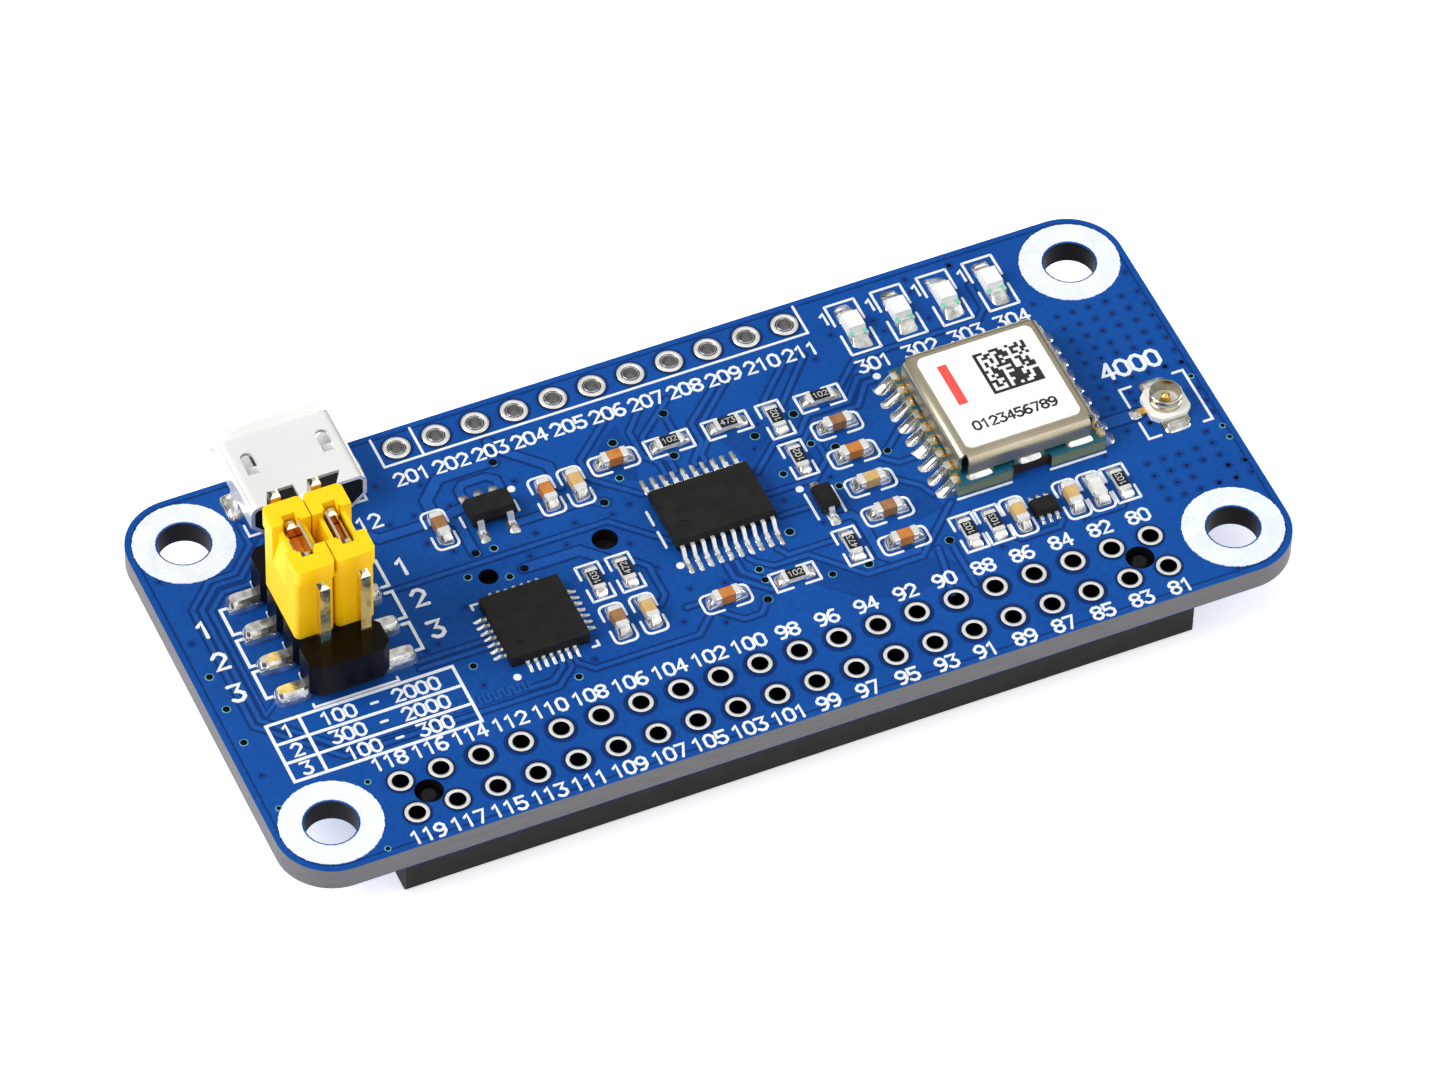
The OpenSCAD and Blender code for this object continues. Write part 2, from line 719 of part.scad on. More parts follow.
module usb_contact_row() {
  for (i = [-2 : 2])
    translate([i * usb_pitch, 0, 0])
      usb_contact();
}

// Moulded block that fills the shell's rear, with the tongue that carries the contacts
module usb_insulator() {
  color([0.06, 0.06, 0.06])
    at_usb()
      difference() {
        union() {
          translate([0, -usb_l + usb_block_l, 0])
            rotate([90, 0, 0])
              linear_extrude(usb_block_l)
                usb_outline(usb_sheet);
          translate([-usb_tongue_w / 2, -usb_l + usb_block_l / 2, usb_contact_z])
            cube([usb_tongue_w, usb_l - usb_block_l / 2 - usb_tongue_end, usb_tongue_t]);
        }
        usb_contact_row();
      }
}

module usb_contacts() {
  color([0.85, 0.7, 0.35])
    at_usb()
      usb_contact_row();
}

// Base of the jumper header: one bevelled block for each pin pair, moulded together
module jumper_header_base() {
  start = -jumper_rows * jumper_pitch / 2;
  inner = jumper_pitch - base_bevel;
  right = concat(
    [for (r = [0 : jumper_rows - 1]) each [
      [inner, start + r * jumper_pitch],
      [jumper_pitch, start + r * jumper_pitch + base_bevel],
      [jumper_pitch, start + (r + 1) * jumper_pitch - base_bevel]
    ]],
    [[inner, -start]]);
  left = [for (i = [len(right) - 1 : -1 : 0]) [-right[i].x, right[i].y]];
  color([0.06, 0.06, 0.07])
    on_board(jumper_at)
      difference() {
        translate([0, 0, base_gap])
          linear_extrude(base_h)
            polygon(concat(right, left));
        for (side = [-1, 1], y = pin_rows)
          translate([side * jumper_pitch / 2, y, base_gap - cut])
            seated_box([pin_side, pin_side, base_h + 2 * cut]);
      }
}

// One bent square pin with a bevelled tip, its tail towards +X
module jumper_pin() {
  near = jumper_pitch / 2 - pin_side / 2;
  far = jumper_pitch / 2 + pin_side / 2;
  heel = 0.35;
  half = pin_side / 2;
  intersection() {
    along_y(pin_side)
      polygon([
        [near, heel], [near + heel, 0], [tail_reach, 0], [tail_reach, pin_side], [far, pin_side],
        [far, pin_top - pin_bevel], [far - pin_bevel, pin_top],
        [near + pin_bevel, pin_top], [near, pin_top - pin_bevel]
      ]);
    along_x(3 * tail_reach)
      polygon([
        [-half, 0], [half, 0], [half, pin_top - pin_bevel], [half - pin_bevel, pin_top],
        [-half + pin_bevel, pin_top], [-half, pin_top - pin_bevel]
      ]);
  }
}

// All pins of the jumper header
module jumper_header_pins() {
  color([0.85, 0.72, 0.4])
    on_board(jumper_at)
      for (y = pin_rows, side = [0, 180])
        translate([0, y, 0])
          rotate(side)
            jumper_pin();
}

// Stands its children on the base, over the middle two pins of one column
module at_cap(side) {
  on_board(jumper_at)
    translate([side * jumper_pitch / 2, 0, jumper_base_top])
      children();
}

// Moulded cap: a hollow trunk, a slotted roof, grip rims at both ends, a low waist and side grooves
module jumper_cap(side) {
  cavity = [cap_w - 2 * cap_wall, cap_l - 2 * cap_wall];
  waist = cap_l + 2 * rim_out - 2 * rim_l;
  color([0.98, 0.82, 0.1])
    at_cap(side)
      difference() {
        union() {
          linear_extrude(cap_h)
            rounded_outline([cap_w, cap_l], cap_edge_r);
          for (end = [-1, 1])
            translate([0, end * (cap_l / 2 + rim_out - rim_l / 2), cap_h - rim_h])
              linear_extrude(rim_h)
                rounded_outline([cap_w, rim_l], cap_edge_r);
        }
        translate([0, 0, -cut])
          seated_box([cavity.x, cavity.y, cap_h - cap_roof + cut]);
        seated_box([pin_side + 2 * cap_slot_clear, cap_slot_l, cap_h + cut]);
        seated_box([cap_slot_w, clip_tongue_l + 2 * cap_slot_clear, cap_h + cut]);
        translate([0, 0, cap_h - waist_drop])
          seated_box([cap_w + 2 * cut, waist, waist_drop + cut]);
        for (turn = [0, 180])
          rotate(turn)
            translate([cap_w / 2, 0, cap_h])
              along_y(waist)
                polygon([
                  [cut, -groove_h], [0, -groove_h], [-groove_depth, -cap_roof],
                  [-groove_depth, cut], [cut, cut]
                ]);
      }
}

// Contact strip of a cap: a folded spring whose leaves lie on both sides of the two pins,
// the taller leaf towards the other cap
module jumper_clip(side) {
  inner = pin_side / 2;
  outer = inner + clip_t;
  web_l = jumper_pitch - pin_side - 2 * clip_web_clear;
  color([0.8, 0.78, 0.72])
    at_cap(side)
      rotate(90 + 90 * side)
        translate([0, 0, clip_lift]) {
          for (x = [inner, -outer])
            translate([x, -clip_l / 2, 0])
              cube([clip_t, clip_l, cap_h - cap_roof - clip_lift]);
          translate([inner, -clip_tongue_l / 2, 0])
            cube([clip_t, clip_tongue_l, cap_h - clip_lift - clip_sink]);
          translate([-outer, -web_l / 2, 0])
            cube([2 * outer, web_l, clip_t]);
        }
}

// Stands its children on the module's carrier
module on_carrier(place) {
  on_board(module_at)
    translate([place.x, place.y, carrier_t])
      children();
}

// Carrier board with half holes down both sides and a break-off notch in front
module module_carrier() {
  color([0.18, 0.42, 0.32])
    on_board(module_at)
      difference() {
        seated_box([carrier_size.x, carrier_size.y, carrier_t]);
        for (side = [-1, 1], y = castellation_ys)
          translate([side * carrier_size.x / 2, y, -cut])
            cylinder(r = castellation_r, h = carrier_t + 2 * cut);
        translate([0, -carrier_size.y / 2, -cut])
          seated_box([tab_notch.x, 2 * tab_notch.y, carrier_t + 2 * cut]);
      }
}

// Plating in the half holes, with a pad round each on the carrier's top
module module_castellations() {
  color([0.82, 0.8, 0.74])
    on_board(module_at)
      for (turn = [0, 180], y = castellation_ys)
        rotate(turn)
          translate([carrier_size.x / 2, y, 0])
            difference() {
              union() {
                cylinder(r = castellation_r, h = carrier_t);
                translate([-castellation_pad_x, -castellation_pad.y / 2, carrier_t])
                  cube([castellation_pad_x, castellation_pad.y, pad_t]);
              }
              translate([0, 0, -cut])
                cylinder(r = castellation_r - 2 * plating_t, h = carrier_t + 2 * cut);
              translate([0, -castellation_r - cut, -cut])
                cube([castellation_r + cut, 2 * (castellation_r + cut), carrier_t + 2 * cut]);
            }
}

// Section through a folded cover: two upright walls and a top with round bends
module arch(w, h, r) {
  translate([-w / 2, 0])
    square([w, h - r]);
  translate([-w / 2 + r, 0])
    square([w - 2 * r, h]);
  for (side = [-1, 1])
    translate([side * (w / 2 - r), h - r])
      circle(r);
}

module folded_sheet(w) {
  difference() {
    arch(w, shield_h, shield_bend_r);
    translate([0, -cut])
      arch(w - 2 * shield_t, shield_h - shield_t + cut, shield_bend_r - shield_t);
  }
}

// Shield can folded from one sheet, open at the corners, on soldered feet
module module_shield() {
  color([0.76, 0.74, 0.66])
    on_carrier([0, 0])
      difference() {
        union() {
          along_y(shield_size.y - 2 * shield_slit)
            folded_sheet(shield_size.x);
          along_x(shield_size.x - 2 * shield_slit)
            folded_sheet(shield_size.y);
        }
        for (end = [-1, 1]) {
          translate([end * foot_spacing / 2, 0, -cut])
            seated_box([foot_gap_w, 2 * shield_size.y, foot_gap_h + cut]);
          translate([0, end * foot_spacing / 2, -cut])
            seated_box([2 * shield_size.x, foot_gap_w, foot_gap_h + cut]);
        }
      }
}

// Paper label on the shield
module module_label() {
  color([0.95, 0.95, 0.93])
    on_carrier([0, 0])
      translate([0, 0, shield_h])
        linear_extrude(label_t)
          rounded_outline(label_size, label_r);
}

// Receiver chip under the shield
module receiver_chip() {
  color([0.12, 0.12, 0.13])
    on_carrier(receiver_chip_at)
      seated_box(receiver_chip_size);
}

// Input filter under the shield
module saw_filter() {
  color([0.75, 0.7, 0.55])
    on_carrier(saw_filter_at)
      seated_box(saw_filter_size);
}

// Oscillator under the shield
module oscillator() {
  color([0.7, 0.7, 0.7])
    on_carrier(oscillator_at)
      seated_box(oscillator_size);
}

// Side view of a moulded package: drafted above and below an upright waist band
function moulded_side(span, h, waist_z, waist_h) = [
  [-span / 2 + mould_draft, 0], [span / 2 - mould_draft, 0],
  [span / 2, waist_z], [span / 2, waist_z + waist_h],
  [span / 2 - mould_draft, h], [-span / 2 + mould_draft, h],
  [-span / 2, waist_z + waist_h], [-span / 2, waist_z]
];

module moulded_body(size, waist_z, waist_h) {
  intersection() {
    along_y(size.y)
      polygon(moulded_side(size.x, size.z, waist_z, waist_h));
    along_x(size.x)
      polygon(moulded_side(size.y, size.z, waist_z, waist_h));
  }
}

// Moulded package on bent leads, with its waist at half height
module leaded_body(size) {
  translate([0, 0, body_standoff])
    moulded_body(size, size.z / 2 - lead_t / 2, lead_t);
}

// Bent lead towards +Y, from the waist band down to a flat foot
module bent_lead(body_w, body_h, span, width) {
  shoulder = body_standoff + body_h / 2 - lead_t / 2;
  start = body_w / 2;
  tip = span / 2;
  foot = min(lead_foot, (tip - start) / 2);
  knee = start + (tip - start - foot) / 3;
  ankle = tip - foot;
  slant = lead_t / 2;
  along_x(width)
    polygon([
      [start, shoulder], [knee, shoulder], [ankle, 0], [tip, 0], [tip, lead_t],
      [ankle + slant, lead_t], [knee + slant, shoulder + lead_t], [start, shoulder + lead_t]
    ]);
}

// Level shifter's moulded body with its pin-one dimple
module level_shifter_body() {
  inset = shifter_dimple[1];
  top = body_standoff + shifter_size.z;
  color([0.1, 0.1, 0.1])
    on_board(shifter_at)
      difference() {
        leaded_body(shifter_size);
        translate([inset - shifter_size.x / 2, inset - shifter_size.y / 2, top - dimple_depth])
          cylinder(d = shifter_dimple[0], h = cut);
      }
}

module level_shifter_leads() {
  color([0.8, 0.8, 0.78])
    on_board(shifter_at)
      for (i = [0 : shifter_leads - 1], turn = [0, 180])
        rotate(turn)
          translate([(i - (shifter_leads - 1) / 2) * shifter_pitch, 0, 0])
            bent_lead(shifter_size.y, shifter_size.z, shifter_span, shifter_lead_w);
}

// Edge terminals and centre pad of the serial bridge
module bridge_terminals() {
  for (turn = [0 : 90 : 270], i = [0 : bridge_pads - 1])
    rotate(turn)
      translate([(i - (bridge_pads - 1) / 2) * bridge_pitch, (bridge_pad_size.y - bridge_size.y) / 2, 0])
        seated_box(bridge_pad_size);
  seated_box([bridge_heat_pad.x, bridge_heat_pad.x, bridge_heat_pad.y]);
}

module usb_bridge_body() {
  inset = bridge_dimple[1];
  color([0.13, 0.13, 0.13])
    on_board(bridge_at)
      difference() {
        seated_box(bridge_size);
        bridge_terminals();
        translate([inset - bridge_size.x / 2, inset - bridge_size.y / 2, bridge_size.z - dimple_depth])
          cylinder(d = bridge_dimple[0], h = cut);
      }
}

module usb_bridge_pads() {
  color([0.8, 0.8, 0.78])
    on_board(bridge_at)
      bridge_terminals();
}

// Regulator: three leads behind and two in front
module regulator_body() {
  color([0.1, 0.1, 0.1])
    on_board(regulator_at)
      leaded_body(regulator_size);
}

module regulator_leads() {
  color([0.8, 0.8, 0.78])
    on_board(regulator_at)
      for (lead = [[-1, 0], [0, 0], [1, 0], [-1, 180], [1, 180]])
        rotate(lead[1])
          translate([lead[0] * regulator_pitch, 0, 0])
            bent_lead(regulator_size.y, regulator_size.z, regulator_span, regulator_lead_w);
}

// Diode: one lead at each end
module diode_body() {
  color([0.1, 0.1, 0.1])
    on_board(diode_at)
      leaded_body(diode_size);
}

module diode_leads() {
  color([0.8, 0.8, 0.78])
    on_board(diode_at)
      for (turn = [0, 180])
        rotate(turn)
          bent_lead(diode_size.y, diode_size.z, diode_span, diode_lead_w);
}

// Load switch: a flat package on the board with straight leads
module load_switch_body() {
  color([0.1, 0.1, 0.1])
    on_board(switch_at)
      moulded_body(switch_size, 0, lead_t);
}

module load_switch_leads() {
  color([0.8, 0.8, 0.78])
    on_board(switch_at)
      for (turn = [0, 180], i = [-1 : 1])
        rotate(turn)
          translate([i * switch_pitch - switch_lead_w / 2, switch_size.y / 2, 0])
            cube([switch_lead_w, (switch_span - switch_size.y) / 2, lead_t]);
}

// Ring and ground tabs of the antenna socket
module antenna_shell_form() {
  outer = antenna_ring_d / 2;
  inner = outer - antenna_ring_wall;
  neck = outer - antenna_groove;
  low = antenna_base_h + antenna_band;
  high = antenna_ring_top - antenna_band;
  rotate_extrude()
    polygon([
      [inner, antenna_tab_t], [outer, antenna_tab_t], [outer, low], [neck, low + antenna_groove],
      [neck, high - antenna_groove], [outer, high], [outer, antenna_ring_top - antenna_groove],
      [neck, antenna_ring_top], [inner, antenna_ring_top]
    ]);
  for (turn = [0, 180])
    rotate(turn)
      translate([-antenna_ground_w / 2, antenna_pin_d, 0])
        cube([antenna_ground_w, antenna_tab_reach - antenna_pin_d, antenna_tab_t]);
}

// Centre pin of the antenna socket with its signal tab
module antenna_pin_form() {
  r = antenna_pin_d / 2;
  rotate_extrude()
    polygon([
      [0, 0], [r, 0], [r, antenna_base_h], [1.5 * r, antenna_base_h], [r, antenna_base_h + r],
      [r, antenna_pin_top - r / 2], [r / 2, antenna_pin_top], [0, antenna_pin_top]
    ]);
  translate([-antenna_tab_reach, -r, 0])
    cube([antenna_tab_reach, 2 * r, antenna_tab_t]);
}

module antenna_socket_base() {
  color([0.93, 0.92, 0.88])
    on_board(antenna_at)
      difference() {
        linear_extrude(antenna_base_h)
          polygon(bevelled_points([antenna_base_w, antenna_base_w], antenna_base_bevel));
        antenna_shell_form();
        antenna_pin_form();
      }
}

module antenna_socket_shell() {
  color([0.8, 0.78, 0.74])
    on_board(antenna_at)
      antenna_shell_form();
}

module antenna_socket_pin() {
  color([0.9, 0.75, 0.35])
    on_board(antenna_at)
      antenna_pin_form();
}

// Places its children at each status light in turn
module at_each_led() {
  for (i = [0 : led_count - 1])
    on_board([led_at.x + i * led_pitch, led_at.y])
      children();
}

// Core of a status light, inside its end caps
module led_core() {
  translate([0, 0, end_cap_t])
    seated_box([led_size.x - 2 * end_cap_t, led_size.y - 2 * end_cap_t, led_size.z - 2 * end_cap_t]);
}

module led_bases() {
  color([0.85, 0.85, 0.8])
    at_each_led()
      led_core();
}

module led_terminals() {
  color([0.82, 0.82, 0.8])
    at_each_led()
      difference() {
        seated_box(led_size);
        led_core();
        translate([0, 0, -cut])
          seated_box([2 * led_size.x, led_size.y - 2 * led_cap_l, led_size.z + 2 * cut]);
      }
}

// Clear moulded lens on a status light
module led_lens(i) {
  seat = led_size.z - end_cap_t;
  rise = led_lens_size.z;
  long = min(led_lens_size.y, led_size.y - 2 * led_cap_l) / 2;
  wide = led_lens_size.x / 2;
  color([0.95, 0.96, 0.94])
    on_board([led_at.x + i * led_pitch, led_at.y])
      translate([0, 0, seat])
        intersection() {
          along_x(2 * wide)
            polygon([[-long, 0], [long, 0], [long - led_draft, rise], [-long + led_draft, rise]]);
          along_y(2 * long)
            polygon([[-wide, 0], [wide, 0], [wide - led_draft, rise], [-wide + led_draft, rise]]);
        }
}

// Core of a chip part, inside its end caps
module chip_core(h) {
  translate([0, 0, end_cap_t])
    seated_box([chip_l - 2 * end_cap_t, chip_w - 2 * end_cap_t, h - 2 * end_cap_t]);
}

// The two end caps of a chip part, bevelled along their edges
module chip_end_caps(h, length) {
  difference() {
    intersection() {
      translate([0, 0, h / 2])
        along_x(chip_l)
          polygon(bevelled_points([chip_w, h], end_cap_bevel));
      linear_extrude(h)
        polygon(bevelled_points([chip_l, chip_w], end_cap_bevel));
    }
    chip_core(h);
    translate([0, 0, -cut])
      seated_box([chip_l - 2 * length, 2 * chip_w, h + 2 * cut]);
  }
}

module capacitor(i) {
  tones = [[0.62, 0.42, 0.26], [0.75, 0.45, 0.18], [0.78, 0.62, 0.36]];
  color(tones[i % 3])
    on_board(capacitor_places[i], capacitor_places[i][2])
      chip_core(capacitor_h);
}

// White ceramic bodies of the resistors
module resistor_bodies() {
  color([0.9, 0.9, 0.88])
    for (place = resistor_places)
      on_board(place, place[2])
        chip_core(resistor_h);
}

// Dark glass coats over the resistors
module resistor_coats() {
  color([0.07, 0.07, 0.08])
    for (place = resistor_places)
      on_board(place, place[2])
        translate([0, 0, resistor_h - end_cap_t])
          seated_box([chip_l - 2 * resistor_cap_l, chip_w - 2 * end_cap_t, coat_t]);
}

module ferrite_bead() {
  color([0.85, 0.86, 0.84])
    on_board(bead_place, bead_place[2])
      chip_core(bead_h);
}

// End caps of every capacitor, resistor and bead
module chip_terminals() {
  color([0.82, 0.82, 0.8]) {
    for (place = capacitor_places)
      on_board(place, place[2])
        chip_end_caps(capacitor_h, end_cap_l);
    for (place = resistor_places)
      on_board(place, place[2])
        chip_end_caps(resistor_h, resistor_cap_l);
    on_board(bead_place, bead_place[2])
      chip_end_caps(bead_h, end_cap_l);
  }
}

// Hangs its children under the board at the cell holder's place
module under_board() {
  translate([cell_at.x, cell_at.y, 0])
    children();
}

// Supply contact: foot, riser up the holder's end and a leaf that presses on the cell's face
module cell_face_contact() {
  end = holder_size.x / 2;
  channel = holder_h - 2 * cell_contact_t;
  rim = cell_d / 2 - cell_edge;
  press = 2.5;
  curl = 1.3;
  lifted = -cell_face - cell_spring;
  t = cell_contact_t;
  along_y(cell_contact_w)
    polygon([
      [end + cell_foot, 0], [end, 0], [end, -channel], [rim, -channel], [press, -cell_face],
      [curl, lifted], [curl, lifted - t], [press, -cell_face - t], [rim, -channel - t],
      [end + t, -channel - t], [end + t, -t], [end + cell_foot, -t]
    ]);
}

// Ground contact: foot, a step over the floor and a leaf that presses on the cell's back
module cell_back_contact() {
  end = -holder_size.x / 2;
  step = 0.35;
  bend = 2;
  t = cell_contact_t;
  along_y(cell_contact_w)
    polygon([
      [end - cell_foot, 0], [end - 2 * step, 0], [end - step, -holder_floor], [-bend, -holder_floor],
      [0, -cell_seat + t], [0, -cell_seat], [-bend, -holder_floor - t],
      [end - step - joint, -holder_floor - t], [end - 2 * step - joint, -t], [end - cell_foot, -t]
    ]);
}

// Moulded tray with two locating pegs, a round well and a finger opening
module cell_holder() {
  well_d = cell_d + 2 * cell_clear;
  channel = 2 * cell_contact_t;
  end = holder_size.x / 2;
  root = holder_floor / 2;
  color([0.08, 0.08, 0.09])
    under_board()
      difference() {
        union() {
          translate([0, 0, -holder_h])
            linear_extrude(holder_h)
              rounded_outline(holder_size, holder_corner_r);
          for (i = [0, 1])
            translate([holder_peg_xs[i], 0, -root])
              cylinder(d = holder_hole_d[i] - 2 * holder_peg_clear, h = root + board_t - holder_peg_recess);
        }
        translate([0, 0, -holder_h - cut])
          cylinder(d = well_d, h = holder_h - holder_floor + cut);
        translate([0, -cell_contact_w / 2, -holder_h - cut])
          cube([end + cut, cell_contact_w, channel + cut]);
        translate([-end - cut, -cell_contact_w / 2, -holder_floor - cell_contact_t])
          cube([end + cut, cell_contact_w, cell_contact_t]);
        translate([-finger_w / 2, 0, -holder_h - cut])
          cube([finger_w, holder_size.y, holder_h - cell_seat + cut]);
      }
}

module cell_contacts() {
  color([0.78, 0.78, 0.76])
    under_board() {
      cell_face_contact();
      cell_back_contact();
    }
}

// Button cell: a cup with a smaller cap towards the board
module backup_cell() {
  r = cell_d / 2;
  shoulder = r - cell_lip;
  color([0.8, 0.8, 0.8])
    under_board()
      rotate_extrude()
        polygon([
          [0, -cell_face], [r - cell_edge, -cell_face], [r, -cell_face + cell_edge],
          [r, -cell_seat - cell_edge], [shoulder, -cell_seat - cell_edge],
          [shoulder - cell_edge, -cell_seat], [0, -cell_seat]
        ]);
}

board();
plated_holes();
header_housing();
header_contacts();
usb_shell();
usb_insulator();
usb_contacts();
jumper_header_base();
jumper_header_pins();
jumper_cap(-1);  // jumper_cap_left
jumper_cap(1);  // jumper_cap_right
jumper_clip(-1);  // jumper_clip_left
jumper_clip(1);  // jumper_clip_right
module_carrier();
module_castellations();
module_shield();
module_label();
receiver_chip();
saw_filter();
oscillator();
level_shifter_body();
level_shifter_leads();
usb_bridge_body();
usb_bridge_pads();
regulator_body();
regulator_leads();
diode_body();
diode_leads();
load_switch_body();
load_switch_leads();
antenna_socket_base();
antenna_socket_shell();
antenna_socket_pin();
led_bases();
led_terminals();
ferrite_bead();
chip_terminals();
resistor_bodies();
resistor_coats();
cell_holder();
cell_contacts();
backup_cell();
for (i = [0 : led_count - 1])
  led_lens(i);
for (i = [0 : len(capacitor_places) - 1])
  capacitor(i);
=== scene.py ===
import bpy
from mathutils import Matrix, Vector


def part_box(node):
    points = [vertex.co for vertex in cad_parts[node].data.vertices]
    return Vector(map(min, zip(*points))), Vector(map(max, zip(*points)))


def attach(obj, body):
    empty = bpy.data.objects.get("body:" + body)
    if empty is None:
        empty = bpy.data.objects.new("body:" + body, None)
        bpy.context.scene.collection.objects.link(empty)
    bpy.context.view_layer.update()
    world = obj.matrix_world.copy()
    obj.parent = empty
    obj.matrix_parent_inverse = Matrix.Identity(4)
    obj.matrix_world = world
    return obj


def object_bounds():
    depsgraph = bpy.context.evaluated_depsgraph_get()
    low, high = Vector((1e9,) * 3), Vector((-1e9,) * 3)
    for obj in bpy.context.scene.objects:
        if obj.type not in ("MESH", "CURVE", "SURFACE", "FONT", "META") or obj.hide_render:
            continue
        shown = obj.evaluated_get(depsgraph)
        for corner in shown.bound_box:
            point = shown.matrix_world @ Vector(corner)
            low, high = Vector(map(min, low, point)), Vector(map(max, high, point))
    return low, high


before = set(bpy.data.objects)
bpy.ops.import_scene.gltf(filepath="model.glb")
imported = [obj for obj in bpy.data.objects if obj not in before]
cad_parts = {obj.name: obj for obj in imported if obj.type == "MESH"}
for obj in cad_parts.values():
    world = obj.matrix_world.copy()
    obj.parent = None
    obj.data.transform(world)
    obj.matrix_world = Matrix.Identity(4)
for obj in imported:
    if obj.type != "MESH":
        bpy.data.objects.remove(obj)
cad_box = [list(corner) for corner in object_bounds()]

import bmesh
import bpy
import numpy as np
from mathutils import Matrix

# Board: a routed blank of glass-fibre laminate under a satin blue solder mask on both faces.
# The routed edge shows the bare grey laminate in thin layers; the walls of the holes inside the outline are
# painted near black as shade.
MM = 0.001
board_corner = 3.5
mask_skin = 0.04
layer_scale = (700.0, 700.0, 9000.0)
wall_slack = 0.2


def node_box(name):
    """Lowest and highest corner of a CAD node's box, in millimetres."""
    return np.array([list(corner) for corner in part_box(name)]) / MM


board_low, board_high = node_box("board")
board_top = board_high[2]


def paint(red, green, blue):
    """Linear colour of a tone given from 0 to 255, by the 2.2 power law."""
    return (*(np.array([red, green, blue]) / 255) ** 2.2, 1)


def add_node(tree, kind, inputs, **settings):
    """Adds a shader node. An input is a value, or a socket to link from."""
    made = tree.nodes.new("ShaderNode" + kind)
    for key, value in settings.items():
        setattr(made, key, value)
    for key, value in inputs.items():
        if isinstance(value, bpy.types.NodeSocket):
            tree.links.new(value, made.inputs[key])
        else:
            made.inputs[key].default_value = value
    return made


def math_node(tree, operation, first, second):
    """Result of one arithmetic step."""
    return add_node(tree, "Math", {0: first, 1: second}, operation=operation).outputs[0]


def vector_node(tree, operation, first, second=(0, 0, 0), result="Vector"):
    """Result of one vector step."""
    return add_node(tree, "VectorMath", {0: first, 1: second}, operation=operation).outputs[result]


def mix_colour(tree, factor, first, second):
    """Colour between two, by a factor from 0 to 1."""
    return add_node(tree, "Mix", {0: factor, 6: first, 7: second}, data_type="RGBA").outputs[2]


def make_grain_group():
    """Node group for a grained surface, on Object coordinates. Tone blends a fine and a coarse noise from
    0 to 1, Roughness runs from Smooth to Rough with the coarse one, and Height is the fine noise."""
    group = bpy.data.node_groups.new("surface_grain", "ShaderNodeTree")
    for name in ("Fine Scale", "Coarse Scale", "Smooth", "Rough"):
        group.interface.new_socket(name, in_out="INPUT", socket_type="NodeSocketFloat")
    for name in ("Tone", "Roughness", "Height"):
        group.interface.new_socket(name, in_out="OUTPUT", socket_type="NodeSocketFloat")
    given = group.nodes.new("NodeGroupInput").outputs
    place = group.nodes.new("ShaderNodeTexCoord").outputs["Object"]
    fine = add_node(group, "TexNoise", {"Vector": place, "Scale": given["Fine Scale"], "Detail": 3.0})
    coarse = add_node(group, "TexNoise", {"Vector": place, "Scale": given["Coarse Scale"], "Detail": 4.0})
    both = math_node(group, "ADD", fine.outputs["Fac"], coarse.outputs["Fac"])
    tone = add_node(group, "MapRange", {"Value": both, "From Min": 0.7, "From Max": 1.3})
    rough = add_node(group, "MapRange", {
        "Value": coarse.outputs["Fac"], "From Min": 0.3, "From Max": 0.7,
        "To Min": given["Smooth"], "To Max": given["Rough"]})
    put = group.nodes.new("NodeGroupOutput").inputs
    group.links.new(tone.outputs["Result"], put["Tone"])
    group.links.new(rough.outputs["Result"], put["Roughness"])
    group.links.new(fine.outputs["Fac"], put["Height"])
    return group


surface_grain = make_grain_group()


def grained(name, dark, light, rough, grain, bump, **shader_values):
    """Material whose colour runs from a dark to a light tone with the grain, and whose roughness runs too.
    Grain holds its fine and coarse size and bump its relief, in millimetres; the rest are shader values."""
    material = bpy.data.materials.new(name)
    material.use_nodes = True
    tree = material.node_tree
    shader = tree.nodes["Principled BSDF"]
    noise = add_node(tree, "Group", {}, node_tree=surface_grain)
    noise.inputs["Fine Scale"].default_value = 1 / (grain[0] * MM)
    noise.inputs["Coarse Scale"].default_value = 1 / (grain[1] * MM)
    noise.inputs["Smooth"].default_value = rough[0]
    noise.inputs["Rough"].default_value = rough[1]
    relief = add_node(tree, "Bump", {
        "Height": noise.outputs["Height"], "Distance": bump * MM, "Strength": 1.0})
    tone = mix_colour(tree, noise.outputs["Tone"], paint(*dark), paint(*light))
    tree.links.new(tone, shader.inputs["Base Color"])
    tree.links.new(noise.outputs["Roughness"], shader.inputs["Roughness"])
    tree.links.new(relief.outputs["Normal"], shader.inputs["Normal"])
    for socket, value in shader_values.items():
        shader.inputs[socket.replace("_", " ")].default_value = value
    return material


def object_place(tree):
    """Object coordinates of the shaded point, and its height, as sockets."""
    place = tree.nodes.new("ShaderNodeTexCoord").outputs["Object"]
    return place, add_node(tree, "SeparateXYZ", {"Vector": place}).outputs["Z"]


def repaint(material, share, colour):
    """Lays a colour over the material's own wherever the share is one."""
    tree = material.node_tree
    base = tree.nodes["Principled BSDF"].inputs["Base Color"]
    tree.links.new(mix_colour(tree, share, base.links[0].from_socket, colour), base)


def between(tree, low, high):
    """One where the object height is between two heights in millimetres, else zero."""
    height = object_place(tree)[1]
    above = math_node(tree, "GREATER_THAN", height, low * MM)
    return math_node(tree, "MULTIPLY", above, math_node(tree, "LESS_THAN", height, high * MM))


